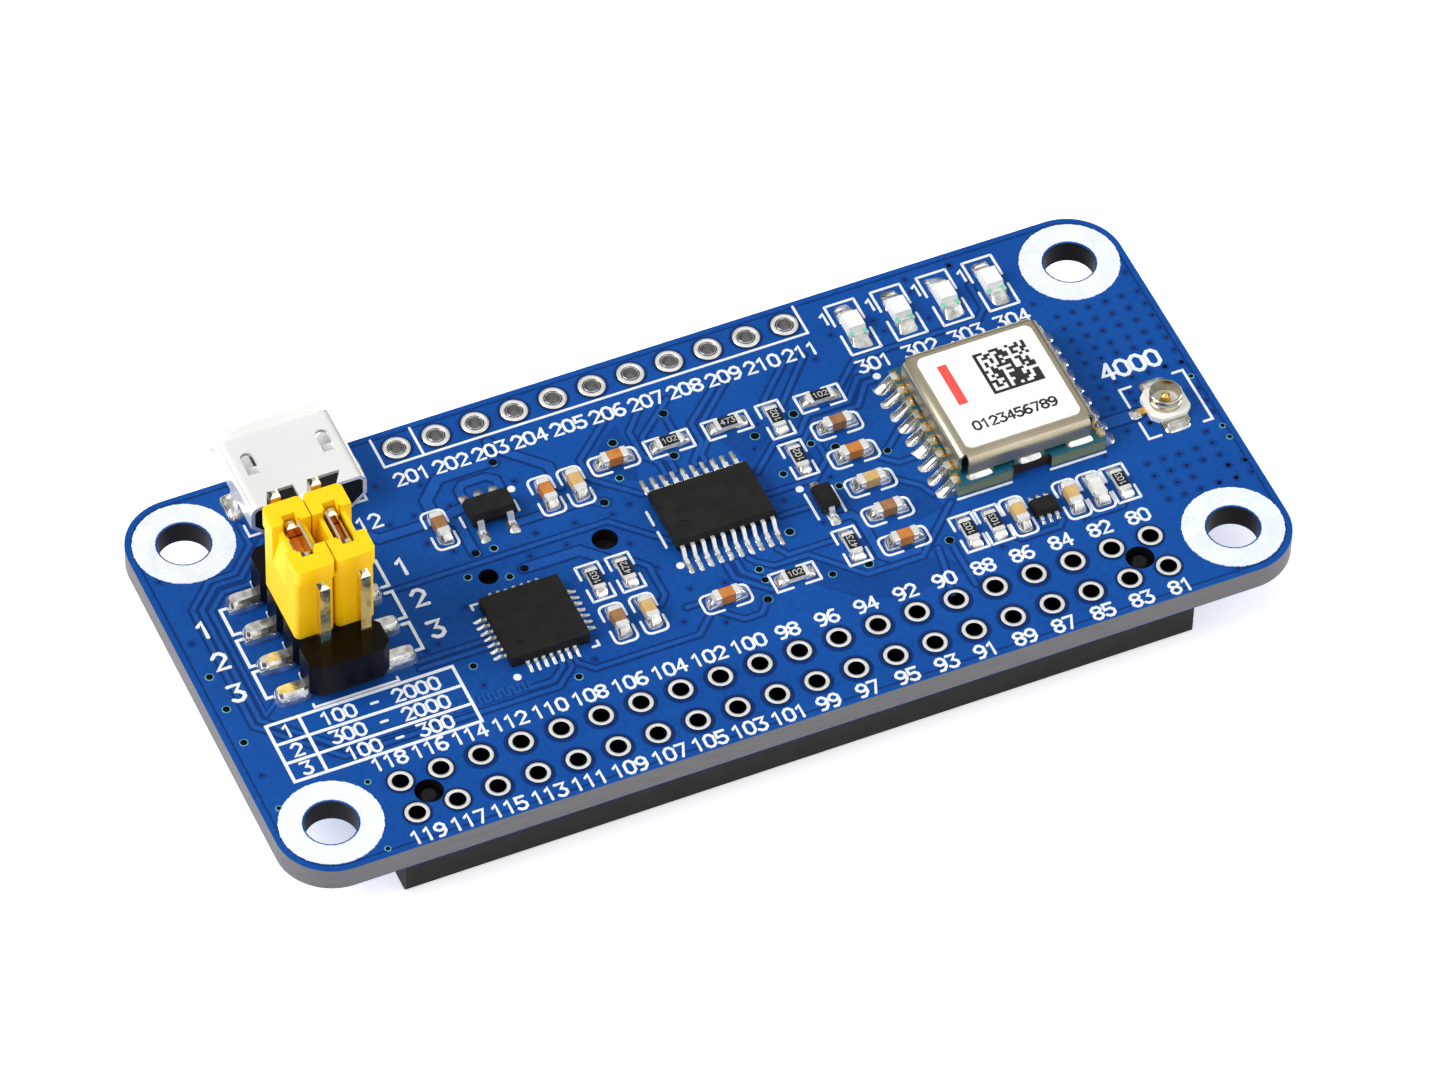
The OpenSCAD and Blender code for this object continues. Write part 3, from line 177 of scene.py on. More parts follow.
def bare_edge(material, low, high, dark, light):
    """Shows laminate between two heights: noise squeezed along Z gives its layers, replacing the mask."""
    tree = material.node_tree
    place = object_place(tree)[0]
    squeezed = add_node(tree, "Mapping", {"Vector": place, "Scale": layer_scale}).outputs["Vector"]
    layers = add_node(tree, "TexNoise", {"Vector": squeezed, "Scale": 1.0, "Detail": 4.0}).outputs["Fac"]
    repaint(material, between(tree, low, high), mix_colour(tree, layers, dark, light))


def shade_hole_walls(material, low, high, half, corner, tone):
    """Paints shade on walls between two heights that lie inside the outline, a rounded rectangle of half
    size and
    corner radius: there the distance past the corners' centres is less than the radius. The tone stands in
    for shade inside the holes."""
    tree = material.node_tree
    folded = vector_node(tree, "ABSOLUTE", object_place(tree)[0])
    past = vector_node(tree, "SUBTRACT", folded, [*(np.array(half) - corner) * MM, 1])
    reach = vector_node(tree, "LENGTH", vector_node(tree, "MAXIMUM", past), result="Value")
    inner = math_node(tree, "LESS_THAN", reach, (corner - wall_slack) * MM)
    repaint(material, math_node(tree, "MULTIPLY", between(tree, low, high), inner), tone)


def dress(material, *names):
    """Gives CAD nodes a material."""
    for name in names:
        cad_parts[name].material_slots[0].material = material


pour_blue = grained(
    "blue_mask", (22, 69, 140), (28, 79, 155), rough=(0.34, 0.46), grain=(0.3, 9), bump=0.0006,
    Specular_IOR_Level=0.08)
laminate_zone = (board_low[2] + mask_skin, board_top - mask_skin)
bare_edge(pour_blue, *laminate_zone, paint(90, 90, 93), paint(112, 111, 114))
# Painted shade: the walls of the holes inside the outline take a near-black tone.
shade_hole_walls(pour_blue, *laminate_zone, board_high[:2], board_corner, paint(26, 25, 28))
dress(pour_blue, "board")

# Copper under the mask: etched tracks stand a little proud of the laminate and show as light ribbons
# between dark gaps, where there is no copper. The pour stops short of the routed edge.
gap_rise = 0.004
track_rise = 0.02
gap_width, pour_line = 0.34, 0.12
thin = 0.28
track_runs = [
    (thin, [(-25.4, 11.6), (-25.4, 9.9), (-27.1, 8.2), (-28.75, 8.2), (-30.45, 6.5), (-30.45, -3.1),
            (-28, -5.6), (-26.35, -7.25), (-12.8, -7.25), (-11.5, -6.1), (-11.5, -5.6)]),
    (thin, [(-24.6, 10), (-26.85, 7.75), (-28.5, 7.75), (-29.95, 6.3), (-29.95, -2.8), (-27.3, -5.45),
            (-26.2, -6.55), (-20, -6.55)]),
    (thin, [(-14.4, -6.7), (-12.9, -6.7), (-12, -5.9), (-12, -5.5)]),
    (thin, [(-27.6, -1.1), (-29.45, -2.6), (-29.45, 6), (-28.3, 7.1), (-26.5, 7.1)]),
    (0.6, [(-19.5, 8.7), (-18.2, 7.35), (-14.6, 7.35), (-12.6, 7.7)]),
    (0.65, [(-14.5, 8.1), (-14.5, 9), (-13.2, 10.35), (-9.6, 10.35)]),
    (0.55, [(-9.3, 11.9), (-8.8, 10.9), (-6.7, 8.75), (-6.7, 7)]),
    (0.45, [(-12.4, 8.2), (-12.4, 9), (-12, 9.4), (-10.5, 9.4), (-10, 9), (-10, 8.2)]),
    (0.55, [(-14.4, 7.3), (-13.4, 6.7), (-13.4, 4.1)]),
    (0.5, [(-10.3, 5.35), (-5.6, 5.35), (-4.75, 4.75)]),
    (thin, [(-20.1, 3.9), (-19.5, 3.35), (-5.15, 3.35), (-2.3, 0.5)]),
    (thin, [(-19.8, -2.3), (-15.3, -2.3)]),
    (thin, [(-19.8, -2.85), (-15.3, -2.85)]),
    (0.65, [(-11.15, 1.9), (-7.6, 1.9), (-6.3, 0.6)]),
    (thin, [(-4.9, -0.1), (-4.3, -0.8), (-4.3, -3.2), (-4.8, -3.8)]),
    (thin, [(-11.1, -5.5), (-11.1, -6), (-10.3, -6.8), (-3.6, -6.8), (-2.3, -5.5)]),
    (thin, [(-1.9, -5.6), (-0.7, -6.75), (0.4, -6.75), (1.15, -5.9)]),
    (thin, [(-3.5, -4.6), (-2.2, -4.6)]),
    (thin, [(-2, 10.9), (-4.8, 8.4), (-4.8, 6.8), (-2.4, 4.5)]),
    (thin, [(0.2, 10.9), (-1.2, 9.3), (-1.2, 7.2), (-0.5, 6.4), (-0.5, 5.4)]),
    (thin, [(2, 10.9), (-0.65, 8.6), (-0.65, 7.2), (0.15, 6.4), (0.15, 5.4)]),
    (thin, [(5.2, 10.9), (2.5, 8.5), (2.5, 6.9), (1.45, 5.7), (1.45, 5.4)]),
    (thin, [(5.9, 10.9), (3.02, 8.2), (3.02, 7), (2.1, 6), (2.1, 5.4)]),
    (thin, [(1.3, 9.8), (1.3, 8.1)]),
    (thin, [(9.7, 10.9), (7.3, 8.5), (7.3, 7.6)]),
    (thin, [(11, 10.9), (8.2, 7.8)]),
    (thin, [(14, 7.95), (13.2, 7.95), (11.9, 6.4), (9.2, 6.4), (8.2, 5.25), (6.6, 5.25), (4.6, 3.4)]),
    (thin, [(14, 7.4), (13.5, 7.4), (12.35, 5.9), (9.45, 5.9), (8, 4.5)]),
    (thin, [(11.2, 7), (13.7, 9.4), (21.9, 9.4), (22.6, 10.1), (22.6, 12.2)]),
    (thin, [(4.5, 1.6), (7.6, 1.6), (8.9, 2.8), (8.9, 4.4)]),
    (thin, [(4.5, -0.25), (6.3, -0.25)]),
    (thin, [(14, 3.4), (12.5, 2)]),
    (thin, [(11.9, 1.6), (12.7, 0.85), (13.9, 0.85)]),
    (thin, [(12, -0.25), (13.2, -1.3), (13.6, -2.2)]),
    (thin, [(0, -2.5), (0, -3.6), (1.7, -5.3)]),
    (thin, [(0.65, -2.5), (0.65, -3.4), (1.6, -4.4)]),
    (thin, [(1.4, -2.5), (1.7, -2.95), (2.6, -3.65), (4.8, -3.65), (7.4, -6.4), (11, -6.4), (14.3, -3.2)]),
    (thin, [(3.3, -2.5), (3.7, -3.2), (6.6, -3.2)]),
    (0.5, [(7.4, -1.75), (8.4, -1.75), (8.75, -2.3), (8.75, -5.4), (9.2, -5.85), (10.9, -5.85)]),
    (thin, [(13, -5.9), (13, -9.6)]),
    (thin, [(12.1, -6.2), (11.9, -7.5), (11.4, -9.6)]),
    (0.8, [(24.6, -1.2), (27.6, -1.2)]),
    (thin, [(16.6, -7), (17, -7.45), (19.5, -7.45), (19.9, -7)]),
    (thin, [(21.3, -7), (21.6, -7.45), (23.6, -7.45), (24, -7)]),
]
meander_x = (-20, -14.4)
meander_y = (-6.7, -6.15)
meander_columns, meander_w = 19, 0.15
bare_patches = [
    [(4.2, -5.9), (6.3, -8), (9, -9), (13, -8.4), (12.2, -6.7), (7.2, -6.7), (5, -4.3)],
    [(11.6, -3.9), (13.9, -3.4), (13.6, -2.4), (13.3, -1.4), (12.2, -0.4), (11.7, -0.6)],
    [(4.6, 4.3), (6.5, 5.6), (6.3, 7.6), (5.6, 8.6), (3.4, 8.2), (3.4, 6.8)],
    [(-4.3, 6.9), (-3.4, 8.9), (-1.7, 10.2), (-1.6, 7.2), (-2.2, 5.6)],
    [(-20.15, -6.85), (-14.25, -6.85), (-14.25, -6), (-20.15, -6)],
]
patch_rise = 0.8 * gap_rise
pour_pullback = 0.42
turn_step = 7.5


def skins(rings, closed=False):
    """Closed skins, one for each item in an array of items, rings, points and coordinates: quads between
    neighbouring rings, and a face over each end or, when closed, quads from the last ring to the first."""
    items, count, sides, _ = rings.shape
    numbers = np.arange(items * count * sides).reshape(items, count, sides)
    low = numbers if closed else numbers[:, :-1]
    high = np.roll(numbers, -1, 1) if closed else numbers[:, 1:]
    walls = np.stack([low, np.roll(low, -1, 2), np.roll(high, -1, 2), high], -1).reshape(-1, 4)
    ends = [] if closed else [numbers[:, 0, ::-1], numbers[:, -1]]
    return rings.reshape(-1, 3), [walls, *ends]


def joined(shapes):
    """One shape from many: all corners in a row, each face's numbers moved on by the corners before."""
    starts = np.cumsum([0] + [len(corners) for corners, faces in shapes])
    corners = np.vstack([corners for corners, faces in shapes])
    return corners, [face + start for start, (_, faces) in zip(starts, shapes) for face in faces]


def ribbon(line, width, rise, level=board_top):
    """Flat ribbon along a line of points, with a rectangular section and mitred bends. At an open end the
    half width follows a quarter circle; a line that ends where it starts becomes a loop."""
    mitre_limit = 1.4
    line = np.array(line, float)
    loop = np.allclose(line[0], line[-1])
    ahead = np.diff(line, axis=0)
    ahead /= np.linalg.norm(ahead, axis=1, keepdims=True)
    if loop:
        line = line[:-1]
        bend = ahead + np.roll(ahead, 1, 0)
    else:
        bend = np.vstack([ahead[:1], ahead]) + np.vstack([ahead, ahead[-1:]])
    length = np.linalg.norm(bend, axis=1, keepdims=True)
    across = np.stack([-bend[:, 1], bend[:, 0]], 1) / length * np.minimum(2 / length, mitre_limit)
    if not loop:
        tilt = np.radians([75, 50, 25])[:, None]
        first = line[0] - ahead[0] * np.sin(tilt) * width / 2
        last = line[-1] + ahead[-1] * np.sin(tilt[::-1]) * width / 2
        line = np.vstack([first, line, last])
        across = np.vstack([across[0] * np.cos(tilt), across, across[-1] * np.cos(tilt[::-1])])
    side = across * width / 2
    outline = np.stack([line + side, line + side, line - side, line - side], 1)
    heights = np.broadcast_to(np.array([0, rise, rise, 0])[:, None] + level, (*outline.shape[:2], 1))
    return skins(np.concatenate([outline, heights], -1)[None], closed=loop)


def ribbons(lines, rise, level=board_top, step=0.0012, cycle=9):
    """Ribbons from pairs of width and line. Each lies one step higher than the one before, in a repeating
    cycle, so that no two tops share a plane where they cross."""
    return [
        ribbon(line, width, rise + step * (number % cycle), level)
        for number, (width, line) in enumerate(lines)]


def plate(outline, rise, level=board_top):
    """Flat plate: an outline carried straight up from the level."""
    outline = np.array(outline, float)
    rings = [np.column_stack([outline, np.full(len(outline), level + height)]) for height in (0, rise)]
    return skins(np.array(rings)[None])


def add_piece(name, shape, material):
    """Puts a shape in millimetres into a mesh object that rides with the board, faces turned outwards."""
    corners, faces = shape
    mesh = bpy.data.meshes.new(name)
    mesh.from_pydata(corners.tolist(), [], [row for block in faces for row in block.tolist()])
    work = bmesh.new()
    work.from_mesh(mesh)
    bmesh.ops.recalc_face_normals(work, faces=work.faces)
    work.to_mesh(mesh)
    work.free()
    mesh.transform(Matrix.Scale(MM, 4))
    mesh.shade_smooth()
    mesh.set_sharp_from_angle(angle=np.radians(45))
    mesh.materials.append(material)
    piece = bpy.data.objects.new(name, mesh)
    bpy.context.scene.collection.objects.link(piece)
    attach(piece, "root")
    return piece


gap_blue = grained(
    "mask_over_gaps", (19, 50, 106), (24, 58, 118), rough=(0.34, 0.46), grain=(0.3, 8), bump=0.0006,
    Specular_IOR_Level=0.08)
track_blue = grained(
    "mask_over_tracks", (25, 73, 146), (32, 84, 161), rough=(0.32, 0.44), grain=(0.3, 8), bump=0.0006,
    Specular_IOR_Level=0.12)
turn = np.radians(np.arange(turn_step / 2, 360 + turn_step, turn_step))
turn_side = np.column_stack([np.cos(turn), np.sin(turn)])
corner_places = np.sign(turn_side) * (board_high[:2] - board_corner)
pour_edge = turn_side * (board_corner - pour_pullback) + corner_places
meander = np.column_stack([
    np.repeat(np.linspace(*meander_x, meander_columns), 2),
    np.resize([meander_y[0], meander_y[1], meander_y[1], meander_y[0]], 2 * meander_columns)])
gap_lines = [(width + gap_width, line) for width, line in track_runs] + [(pour_line, pour_edge)]
patch_blue = grained(
    "mask_over_patches", (20, 61, 126), (26, 70, 140), rough=(0.34, 0.46), grain=(0.3, 8), bump=0.0006,
    Specular_IOR_Level=0.08)
add_piece("bare_patches", joined([
    plate(outline, patch_rise) for outline in bare_patches]), patch_blue)
add_piece("track_gaps", joined(ribbons(gap_lines, gap_rise)), gap_blue)
add_piece("tracks", joined(
    ribbons([*track_runs, (meander_w, meander)], track_rise)), track_blue)

# Vias: small plated holes that join the two faces. Under the mask each is a faint halo round a dimple
# painted dark blue as shade in the hole below; the ones that the mask left open are black discs of painted
# shade, most with a thin pale rim.
via_rim, via_pit, via_rise = 0.31, 0.1, 0.016
open_rim, open_pit = 0.28, 0.2
small_rim, small_pit = 0.22, 0.13
big_rim, big_pit = 0.4, 0.25
big_halo, big_lip, pit_lap = 0.14, 0.07, 0.01
dimple_rise, pit_rise = 0.7 * via_rise, 1.9 * via_rise
right_columns = [26.4, 27.45, 28.52, 29.63, 30.73, 31.83]
covered_vias = [
    *[(x, y) for y in (7.74, 6.7, 5.67, 4.6, 3.68) for x in right_columns],
    *[(x, 1.57) for x in right_columns[:4]],
    *[(x, y) for y in (-5.05, -6.05) for x in right_columns[:5]],
    *[(x, y) for y in (-7.03, -8.05) for x in right_columns[:3]],
    *[(26.4, y) for y in (2.45, 0.6, -0.25, -2.2)],
    (31.85, 2.58), (30.77, -4.07), (25.5, 9.26), (31.8, 9.45), (16.28, 10.75), (19.2, 10.7), (13.18, 11.76),
    (24.3, -3.5), (15.7, -7.55), (21.1, -7.55), (12.05, -6.25), (11.5, 10.3), (-31.45, 9.3), (-31.45, 4.14),
    (-31.4, -6.68), (-17.2, 8.1), (-15.6, 8.2), (-15.7, 5.9), (-15.5, 0.5), (-18.1, -1.5), (-18.95, -1.7),
    (-16.85, -5.45), (-16.8, 11.25), (-14.3, 10.3), (-13.3, 8.1), (-9.05, 8.4), (-14.5, 4.75),
    (-9.45, 4.15), (-7, 4), (-3.4, 4.1), (-4.65, 3.75), (-10.45, 2.65), (-8.1, 2.6), (-4.6, 1.25),
    (-3.9, -1.05), (-2.7, -3.35), (-0.65, -3.7), (-4.1, -5.55), (-10.05, -6.15), (-1.8, -6.55),
    (6.2, 6.9), (5.2, 5.2), (8.25, 7.6), (8.5, 1.37), (6.67, -1.73), (5.2, 0.75), (19.04, 13.01),
    (19.14, 14.09), (16.04, 11.79),
    (31.88, -0.74), (31.89, -1.85), (31.96, -2.79), (27.87, 0.52), (27.89, -0.22), (31.92, -8.04),
    (27.84, -14.6),
]
open_vias = [
    (-31.42, 1.39), (-31.42, -1.26), (-31.42, -3.98), (-14.5, 2.57), (-16.85, -3.85), (-12.2, 4.05),
    (-12.2, 1.65), (-3.15, 6.2), (1.64, -3.57), (1.64, -4.45), (-11.45, -7), (12.5, 1.97), (6, 2.7),
    (8.5, 4.25), (8.7, 0.55), (5.5, -5.6),
]
small_vias = [(31.85, 0.28), (31.89, -4.03), (31.9, -5), (-25.9, -9.52), (-26.71, -14.55), (-31.39, -9.33)]
dark_vias = [
    (31.95, -7.02), (30.72, 1.58), (31.8, 1.52), (30.84, -7), (30.85, -8.08), (29.73, -8.04),
    (27.95, -2.16), (22.1, 14.1),
]
big_vias = [
    (-9.64, 10.27), (-13.36, 4.1), (-4.75, 4.78), (-2.43, 8.9), (0.55, 6.55), (1.3, 9.87), (5.65, 6.1),
    (8.5, 6.8), (1.17, -5.9), (4.5, -1.6), (13, -5.9), (7.8, -5.7), (9.75, 3.43), (-11.15, 1.9),
]


def hoops(centres, inner, outer, rise, level=board_top, steps=24, crown=0.0, ragged=0.0):
    """Flat rings round a row of centres: a four-cornered section from the inner to the outer radius goes
    round a circle. Crown pulls the upper corners together, and ragged waves the edges along the circle."""
    angle = np.linspace(0, 2 * np.pi, steps, endpoint=False)[:, None]
    wave = 1 + ragged * (np.sin(23 * angle) + np.sin(41 * angle + 1) + np.sin(67 * angle + 2))
    radius = np.array([outer, outer - crown, inner + crown, inner]) * wave
    height = np.broadcast_to(np.array([0, rise, rise, 0]) + level, radius.shape)
    section = np.stack([radius * np.cos(angle), radius * np.sin(angle), height], -1)
    return skins(section + np.pad(np.array(centres, float), ((0, 0), (0, 1)))[:, None, None], closed=True)


def discs(centres, radius, rise, level=board_top, sides=16):
    """Flat round plates of one radius on a row of centres."""
    angle = np.linspace(0, 2 * np.pi, sides, endpoint=False)
    ring = np.stack([radius * np.cos(angle), radius * np.sin(angle)], -1)
    rings = np.stack([np.column_stack([ring, np.full(sides, level + height)]) for height in (0, rise)])
    return skins(rings + np.pad(np.array(centres, float), ((0, 0), (0, 1)))[:, None, None])


dimple_shade_blue = grained(
    "dimple_shade_blue", (14, 28, 72), (18, 36, 88), rough=(0.4, 0.55), grain=(0.2, 2), bump=0.001,
    Specular_IOR_Level=0.2)
pit_shade_black = grained(
    "pit_shade_black", (5, 7, 11), (10, 12, 18), rough=(0.5, 0.65), grain=(0.2, 2), bump=0.001,
    Specular_IOR_Level=0.1)
rim_pale = grained(
    "rim_pale", (70, 138, 160), (112, 176, 190), rough=(0.3, 0.45), grain=(0.1, 0.6), bump=0.002)
all_vias = covered_vias + open_vias + small_vias + dark_vias + big_vias
add_piece("via_rims", joined([
    hoops(covered_vias + dark_vias, via_pit, via_rim, via_rise, crown=0.09),
    hoops(big_vias, big_rim, big_rim + big_halo, via_rise, crown=0.04)]), patch_blue)
# Painted shade: dark blue discs for the holes under the mask.
add_piece("via_dimple_shade", discs(covered_vias, via_pit + pit_lap, dimple_rise), dimple_shade_blue)
add_piece("open_rims", joined([
    hoops(open_vias, open_pit, open_rim, via_rise, crown=0.02),
    hoops(small_vias, small_pit, small_rim, via_rise, crown=0.02),
    hoops(big_vias, big_pit, big_pit + big_lip, via_rise, crown=0.02)]), rim_pale)
# Painted shade: black discs for the open holes.
add_piece("via_pit_shade", joined([
    discs(open_vias, open_pit + pit_lap, pit_rise),
    discs(small_vias + dark_vias, small_pit + pit_lap, pit_rise),
    discs(big_vias, big_pit + pit_lap, pit_rise)]), pit_shade_black)
add_piece("lower_rims", hoops(
    all_vias, via_pit, via_rim, -via_rise, board_low[2], crown=0.06), gap_blue)
add_piece("lower_dimple_shade", discs(
    all_vias, via_pit + pit_lap, -dimple_rise, board_low[2]), dimple_shade_blue)

# Print: white ink screened on the mask. It outlines each part's place, numbers the holes and rings the
# four mounting holes; the ink's edge is a little ragged.
ink_rise = 0.038
box_w, text_w, table_w = 0.16, 0.17, 0.2
small_text, row_text, large_text, large_w = 0.9, 0.92, 1.2, 0.24
dot_r = 0.25
mount_x, mount_y = 29, 11.5
ring_outer, ring_inner = 3.1, 1.7
pitch = 2.54
header_x = (np.arange(20) - 9.5) * pitch
rear_x = -14.5 + pitch * np.arange(11)
chip_half_l, chip_half_w, resistor_half_l = 1.52, 0.72, 1.42
bracket_gap, round_corner, square_corner = 0.42, 0.35, 0.02
light_frame = (2.1, 0.97, 0.45)
header_text_y, rear_text_y, light_text_y = (-8.55, -14.45), 11.18, 8.65
light_mark_out, light_mark_y = 1.32, 13
bracket_text_x, table_text_x = (-30.4, -17.75), (-28.75, -22.9)
table_rows = [("100 - 2000", -4.18), ("300 - 2000", -5.7), ("100 - 300", -7.18)]
led_x = 14.65 + 3.06 * np.arange(4)
led_y = 11.8
resistor_seats = [
    (0.65, 7.5, 0), (4.45, 7.5, 0), (7.3, 6.8, 90), (7.3, 3.4, 90), (10.45, 7.3, 0), (7.45, -4.05, 90),
    (3.35, -4.95, 0), (-7.7, -0.7, 90), (-5.75, -0.7, 90), (14.3, -5.8, 90), (15.95, -5.8, 90),
    (24.25, -5.8, 90),
]
DIGITS = {
    "0": [[(0.2, 0), (0.42, 0), (0.62, 0.2), (0.62, 0.8), (0.42, 1), (0.2, 1), (0, 0.8), (0, 0.2),
           (0.2, 0)]],
    "1": [[(0.1, 0.8), (0.34, 1), (0.34, 0)]],
    "2": [[(0, 0.8), (0.2, 1), (0.42, 1), (0.62, 0.8), (0.62, 0.6), (0, 0), (0.62, 0)]],
    "3": [[(0, 1), (0.62, 1), (0.3, 0.6), (0.45, 0.56), (0.62, 0.4), (0.62, 0.18), (0.42, 0), (0.18, 0),
           (0, 0.14)]],
    "4": [[(0.46, 0), (0.46, 1)], [(0.46, 1), (0, 0.3), (0.64, 0.3)]],
    "5": [[(0.6, 1), (0.04, 1), (0.02, 0.55), (0.42, 0.6), (0.62, 0.42), (0.62, 0.18), (0.42, 0), (0.18, 0),
           (0, 0.14)]],
    "6": [[(0, 0.2), (0.2, 0), (0.42, 0), (0.62, 0.2), (0.62, 0.38), (0.42, 0.56), (0.2, 0.56), (0, 0.4),
           (0, 0.2)],
          [(0, 0.4), (0, 0.7), (0.25, 1), (0.52, 1)]],
    "7": [[(0, 1), (0.62, 1), (0.22, 0)]],
    "8": [[(0.2, 0.54), (0, 0.7), (0, 0.84), (0.18, 1), (0.44, 1), (0.62, 0.84), (0.62, 0.7), (0.42, 0.54),
           (0.2, 0.54)],
          [(0.2, 0.54), (0, 0.36), (0, 0.18), (0.2, 0), (0.42, 0), (0.62, 0.18), (0.62, 0.36), (0.42, 0.54),
           (0.2, 0.54)]],
    "9": [[(0.62, 0.8), (0.42, 1), (0.2, 1), (0, 0.8), (0, 0.62), (0.2, 0.44), (0.42, 0.44), (0.62, 0.6),
           (0.62, 0.8)],
          [(0.62, 0.6), (0.62, 0.3), (0.37, 0), (0.1, 0)]],
    "-": [[(0.1, 0.5), (0.54, 0.5)]],
    " ": [],
}
digit_w, digit_pitch = 0.62, 0.84


def turned(points, seat):
    """Points turned by the seat's angle in degrees and moved to its place."""
    angle = np.radians(seat[2])
    spin = np.array([[np.cos(angle), np.sin(angle)], [-np.sin(angle), np.cos(angle)]])
    return np.array(points, float) @ spin + np.array(seat[:2])


def number_lines(text, seat, height, width=text_w):
    """Widths and stroke lines of a plain number, centred on its seat, with digits on an even pitch."""
    length = digit_pitch * len(text) - (digit_pitch - digit_w)
    return [
        (width, turned((np.array(line) + (place * digit_pitch - length / 2, -0.5)) * height, seat))
        for place, sign in enumerate(text) for line in DIGITS[sign]]


def end_brackets(seat, half_l, half_w, gap, corner):
    """Outline in two halves, open at the middle of the long sides: each half is a U whose corners are
    quarter circles of the corner radius."""
    swing = np.linspace(0, np.pi / 2, 4)
    arc = np.stack([np.sin(swing), 1 - np.cos(swing)], -1) * corner
    near = np.column_stack([half_l - corner + arc[:, 0], half_w - arc[:, 1]])
    half = np.vstack([[(gap, half_w)], near, near[::-1] * (1, -1), [(gap, -half_w)]])
    return [(box_w, turned(half, seat)), (box_w, turned(-half, seat))]


def chip_seat(node):
    """Middle of a chip node's box, and 90 where its long side lies along Y."""
    low, high = node_box(node)
    size = high - low
    return ((low[0] + high[0]) / 2, (low[1] + high[1]) / 2, 90 if size[1] > size[0] else 0)


capacitor_seats = [chip_seat(f"capacitor_{i}") for i in range(1, 15)]
bead_seat = chip_seat("ferrite_bead")
jumper_x = -24.15
jumper_rows = 2 + (np.arange(4) - 1.5) * pitch
bracket_rows = [(5.85, 3.8), (3.3, 1.15), (0.7, -1.45)]
antenna_low, antenna_high = node_box("antenna_socket_base")
antenna_x, antenna_y = (antenna_low + antenna_high)[:2] / 2
box_lines = [
    [(-15.75, 14.7), (-15.75, 12.4), (11.95, 12.4), (11.95, 14.7)],
    [(-13.2, 14.7), (-13.2, 12.4)],
    [(-25.2, 11.4), (-25.2, 10.5), (-24.4, 10.5)],
    [(-17.7, 11.4), (-17.7, 10.5), (-18.5, 10.5)],
    [(-26.6, -2.9), (-26.6, -3.15), (-21.3, -3.15), (-21.3, -2.9)],
    [(14.8, -3.2), (18.3, -3.2)],
    [(20.9, -3.2), (24.5, -3.2)],
    [(-2.75, 3.1), (-2.75, 2)],
    [(-2.75, 1.4), (-2.75, 0.1)],
    [(-15.2, 0.1), (-15.2, 0.45), (-14.8, 0.45)],
    [(-9.4, -4.9), (-9.4, -5.25), (-9.8, -5.25)],
    [(-13.15, 7), (-13.15, 6.2)],
    [(-9.65, 7), (-9.65, 6.2)],
    [(6.5, 0.7), (6.5, -1.4)],
    [(8.25, 0.7), (8.25, -1.4)],
    [(antenna_x - 1.3, 0.9), (antenna_x - 2.05, 0.9), (antenna_x - 2.05, -0.6)],
    [(antenna_x - 2.05, -1.95), (antenna_x - 2.05, -3.32), (antenna_x - 1.25, -3.32)],
    [(antenna_x + 1.5, 0.9), (antenna_x + 2.17, 0.9), (antenna_x + 2.17, -3.32), (antenna_x + 1.6, -3.32)],
    *[[(jumper_x + side * 2.3, y + 0.8), (jumper_x + side * 2.3, y + 1.4)]
      for y in jumper_rows for side in (-1, 1)],
]
table_lines = [
    [(-29.8, -3.4), (-18, -3.4), (-18, -7.9), (-29.8, -7.9), (-29.8, -3.4)],
    [(-27.75, -3.4), (-27.75, -7.9)],
    [(-29.8, -4.95), (-18, -4.95)],
    [(-29.8, -6.45), (-18, -6.45)],
]
for top, bottom in bracket_rows:
    table_lines.append([(-28.5, top), (-28.95, top), (-28.95, bottom), (-28.5, bottom)])
    table_lines.append([(-19.5, top), (-19.05, top), (-19.05, bottom), (-19.5, bottom)])
ink_lines = [(box_w, line) for line in box_lines] + [(table_w, line) for line in table_lines]
for seat in capacitor_seats + [bead_seat]:
    ink_lines += end_brackets(seat, chip_half_l, chip_half_w, bracket_gap, round_corner)
for seat in resistor_seats:
    ink_lines += end_brackets(seat, resistor_half_l, chip_half_w, bracket_gap, square_corner)
for x in led_x:
    ink_lines += end_brackets((x, led_y, 90), *light_frame, square_corner)
for number, x in enumerate(header_x[::-1]):
    ink_lines += number_lines(str(2 * number + 80), (x, header_text_y[0], 0), small_text)
    ink_lines += number_lines(str(2 * number + 81), (x, header_text_y[1], 0), small_text)
for number, x in enumerate(rear_x):
    ink_lines += number_lines(str(number + 201), (x, rear_text_y, 0), row_text)
for number, x in enumerate(led_x):
    ink_lines += number_lines(str(number + 301), (x, light_text_y, 0), row_text)
    ink_lines += number_lines("1", (x - light_mark_out, light_mark_y, 0), small_text)
for number, (top, bottom) in enumerate(bracket_rows):
    for x in bracket_text_x:
        ink_lines += number_lines(str(number + 1), (x, (top + bottom) / 2, 0), large_text, large_w)
for number, (text, y) in enumerate(table_rows):
    ink_lines += number_lines(str(number + 1), (table_text_x[0], y, 0), small_text)
    ink_lines += number_lines(text, (table_text_x[1], y, 0), small_text)
ink_lines += number_lines("12", (-18.3, 8.75, 0), 1)
ink_lines += number_lines("4000", (antenna_x - 0.6, 2.5, 0), large_text, large_w)
ink_dots = [(14.35, 7.6), (-14.8, -5.65), (-2.55, -1.5), (-9.45, 7.9), (6.4, 1.2)]
mount_places = [(sx * mount_x, sy * mount_y) for sx in (-1, 1) for sy in (-1, 1)]
white_ink = grained(
    "white_ink", (214, 222, 232), (238, 243, 248), rough=(0.45, 0.6), grain=(0.1, 1.6), bump=0.004)
add_piece("print_lines", joined(
    ribbons(ink_lines, ink_rise) + [discs(ink_dots, dot_r, ink_rise)]), white_ink)
add_piece("mount_rings", hoops(
    mount_places, ring_inner, ring_outer, ink_rise, steps=240, crown=0.01, ragged=0.0035),
    white_ink)
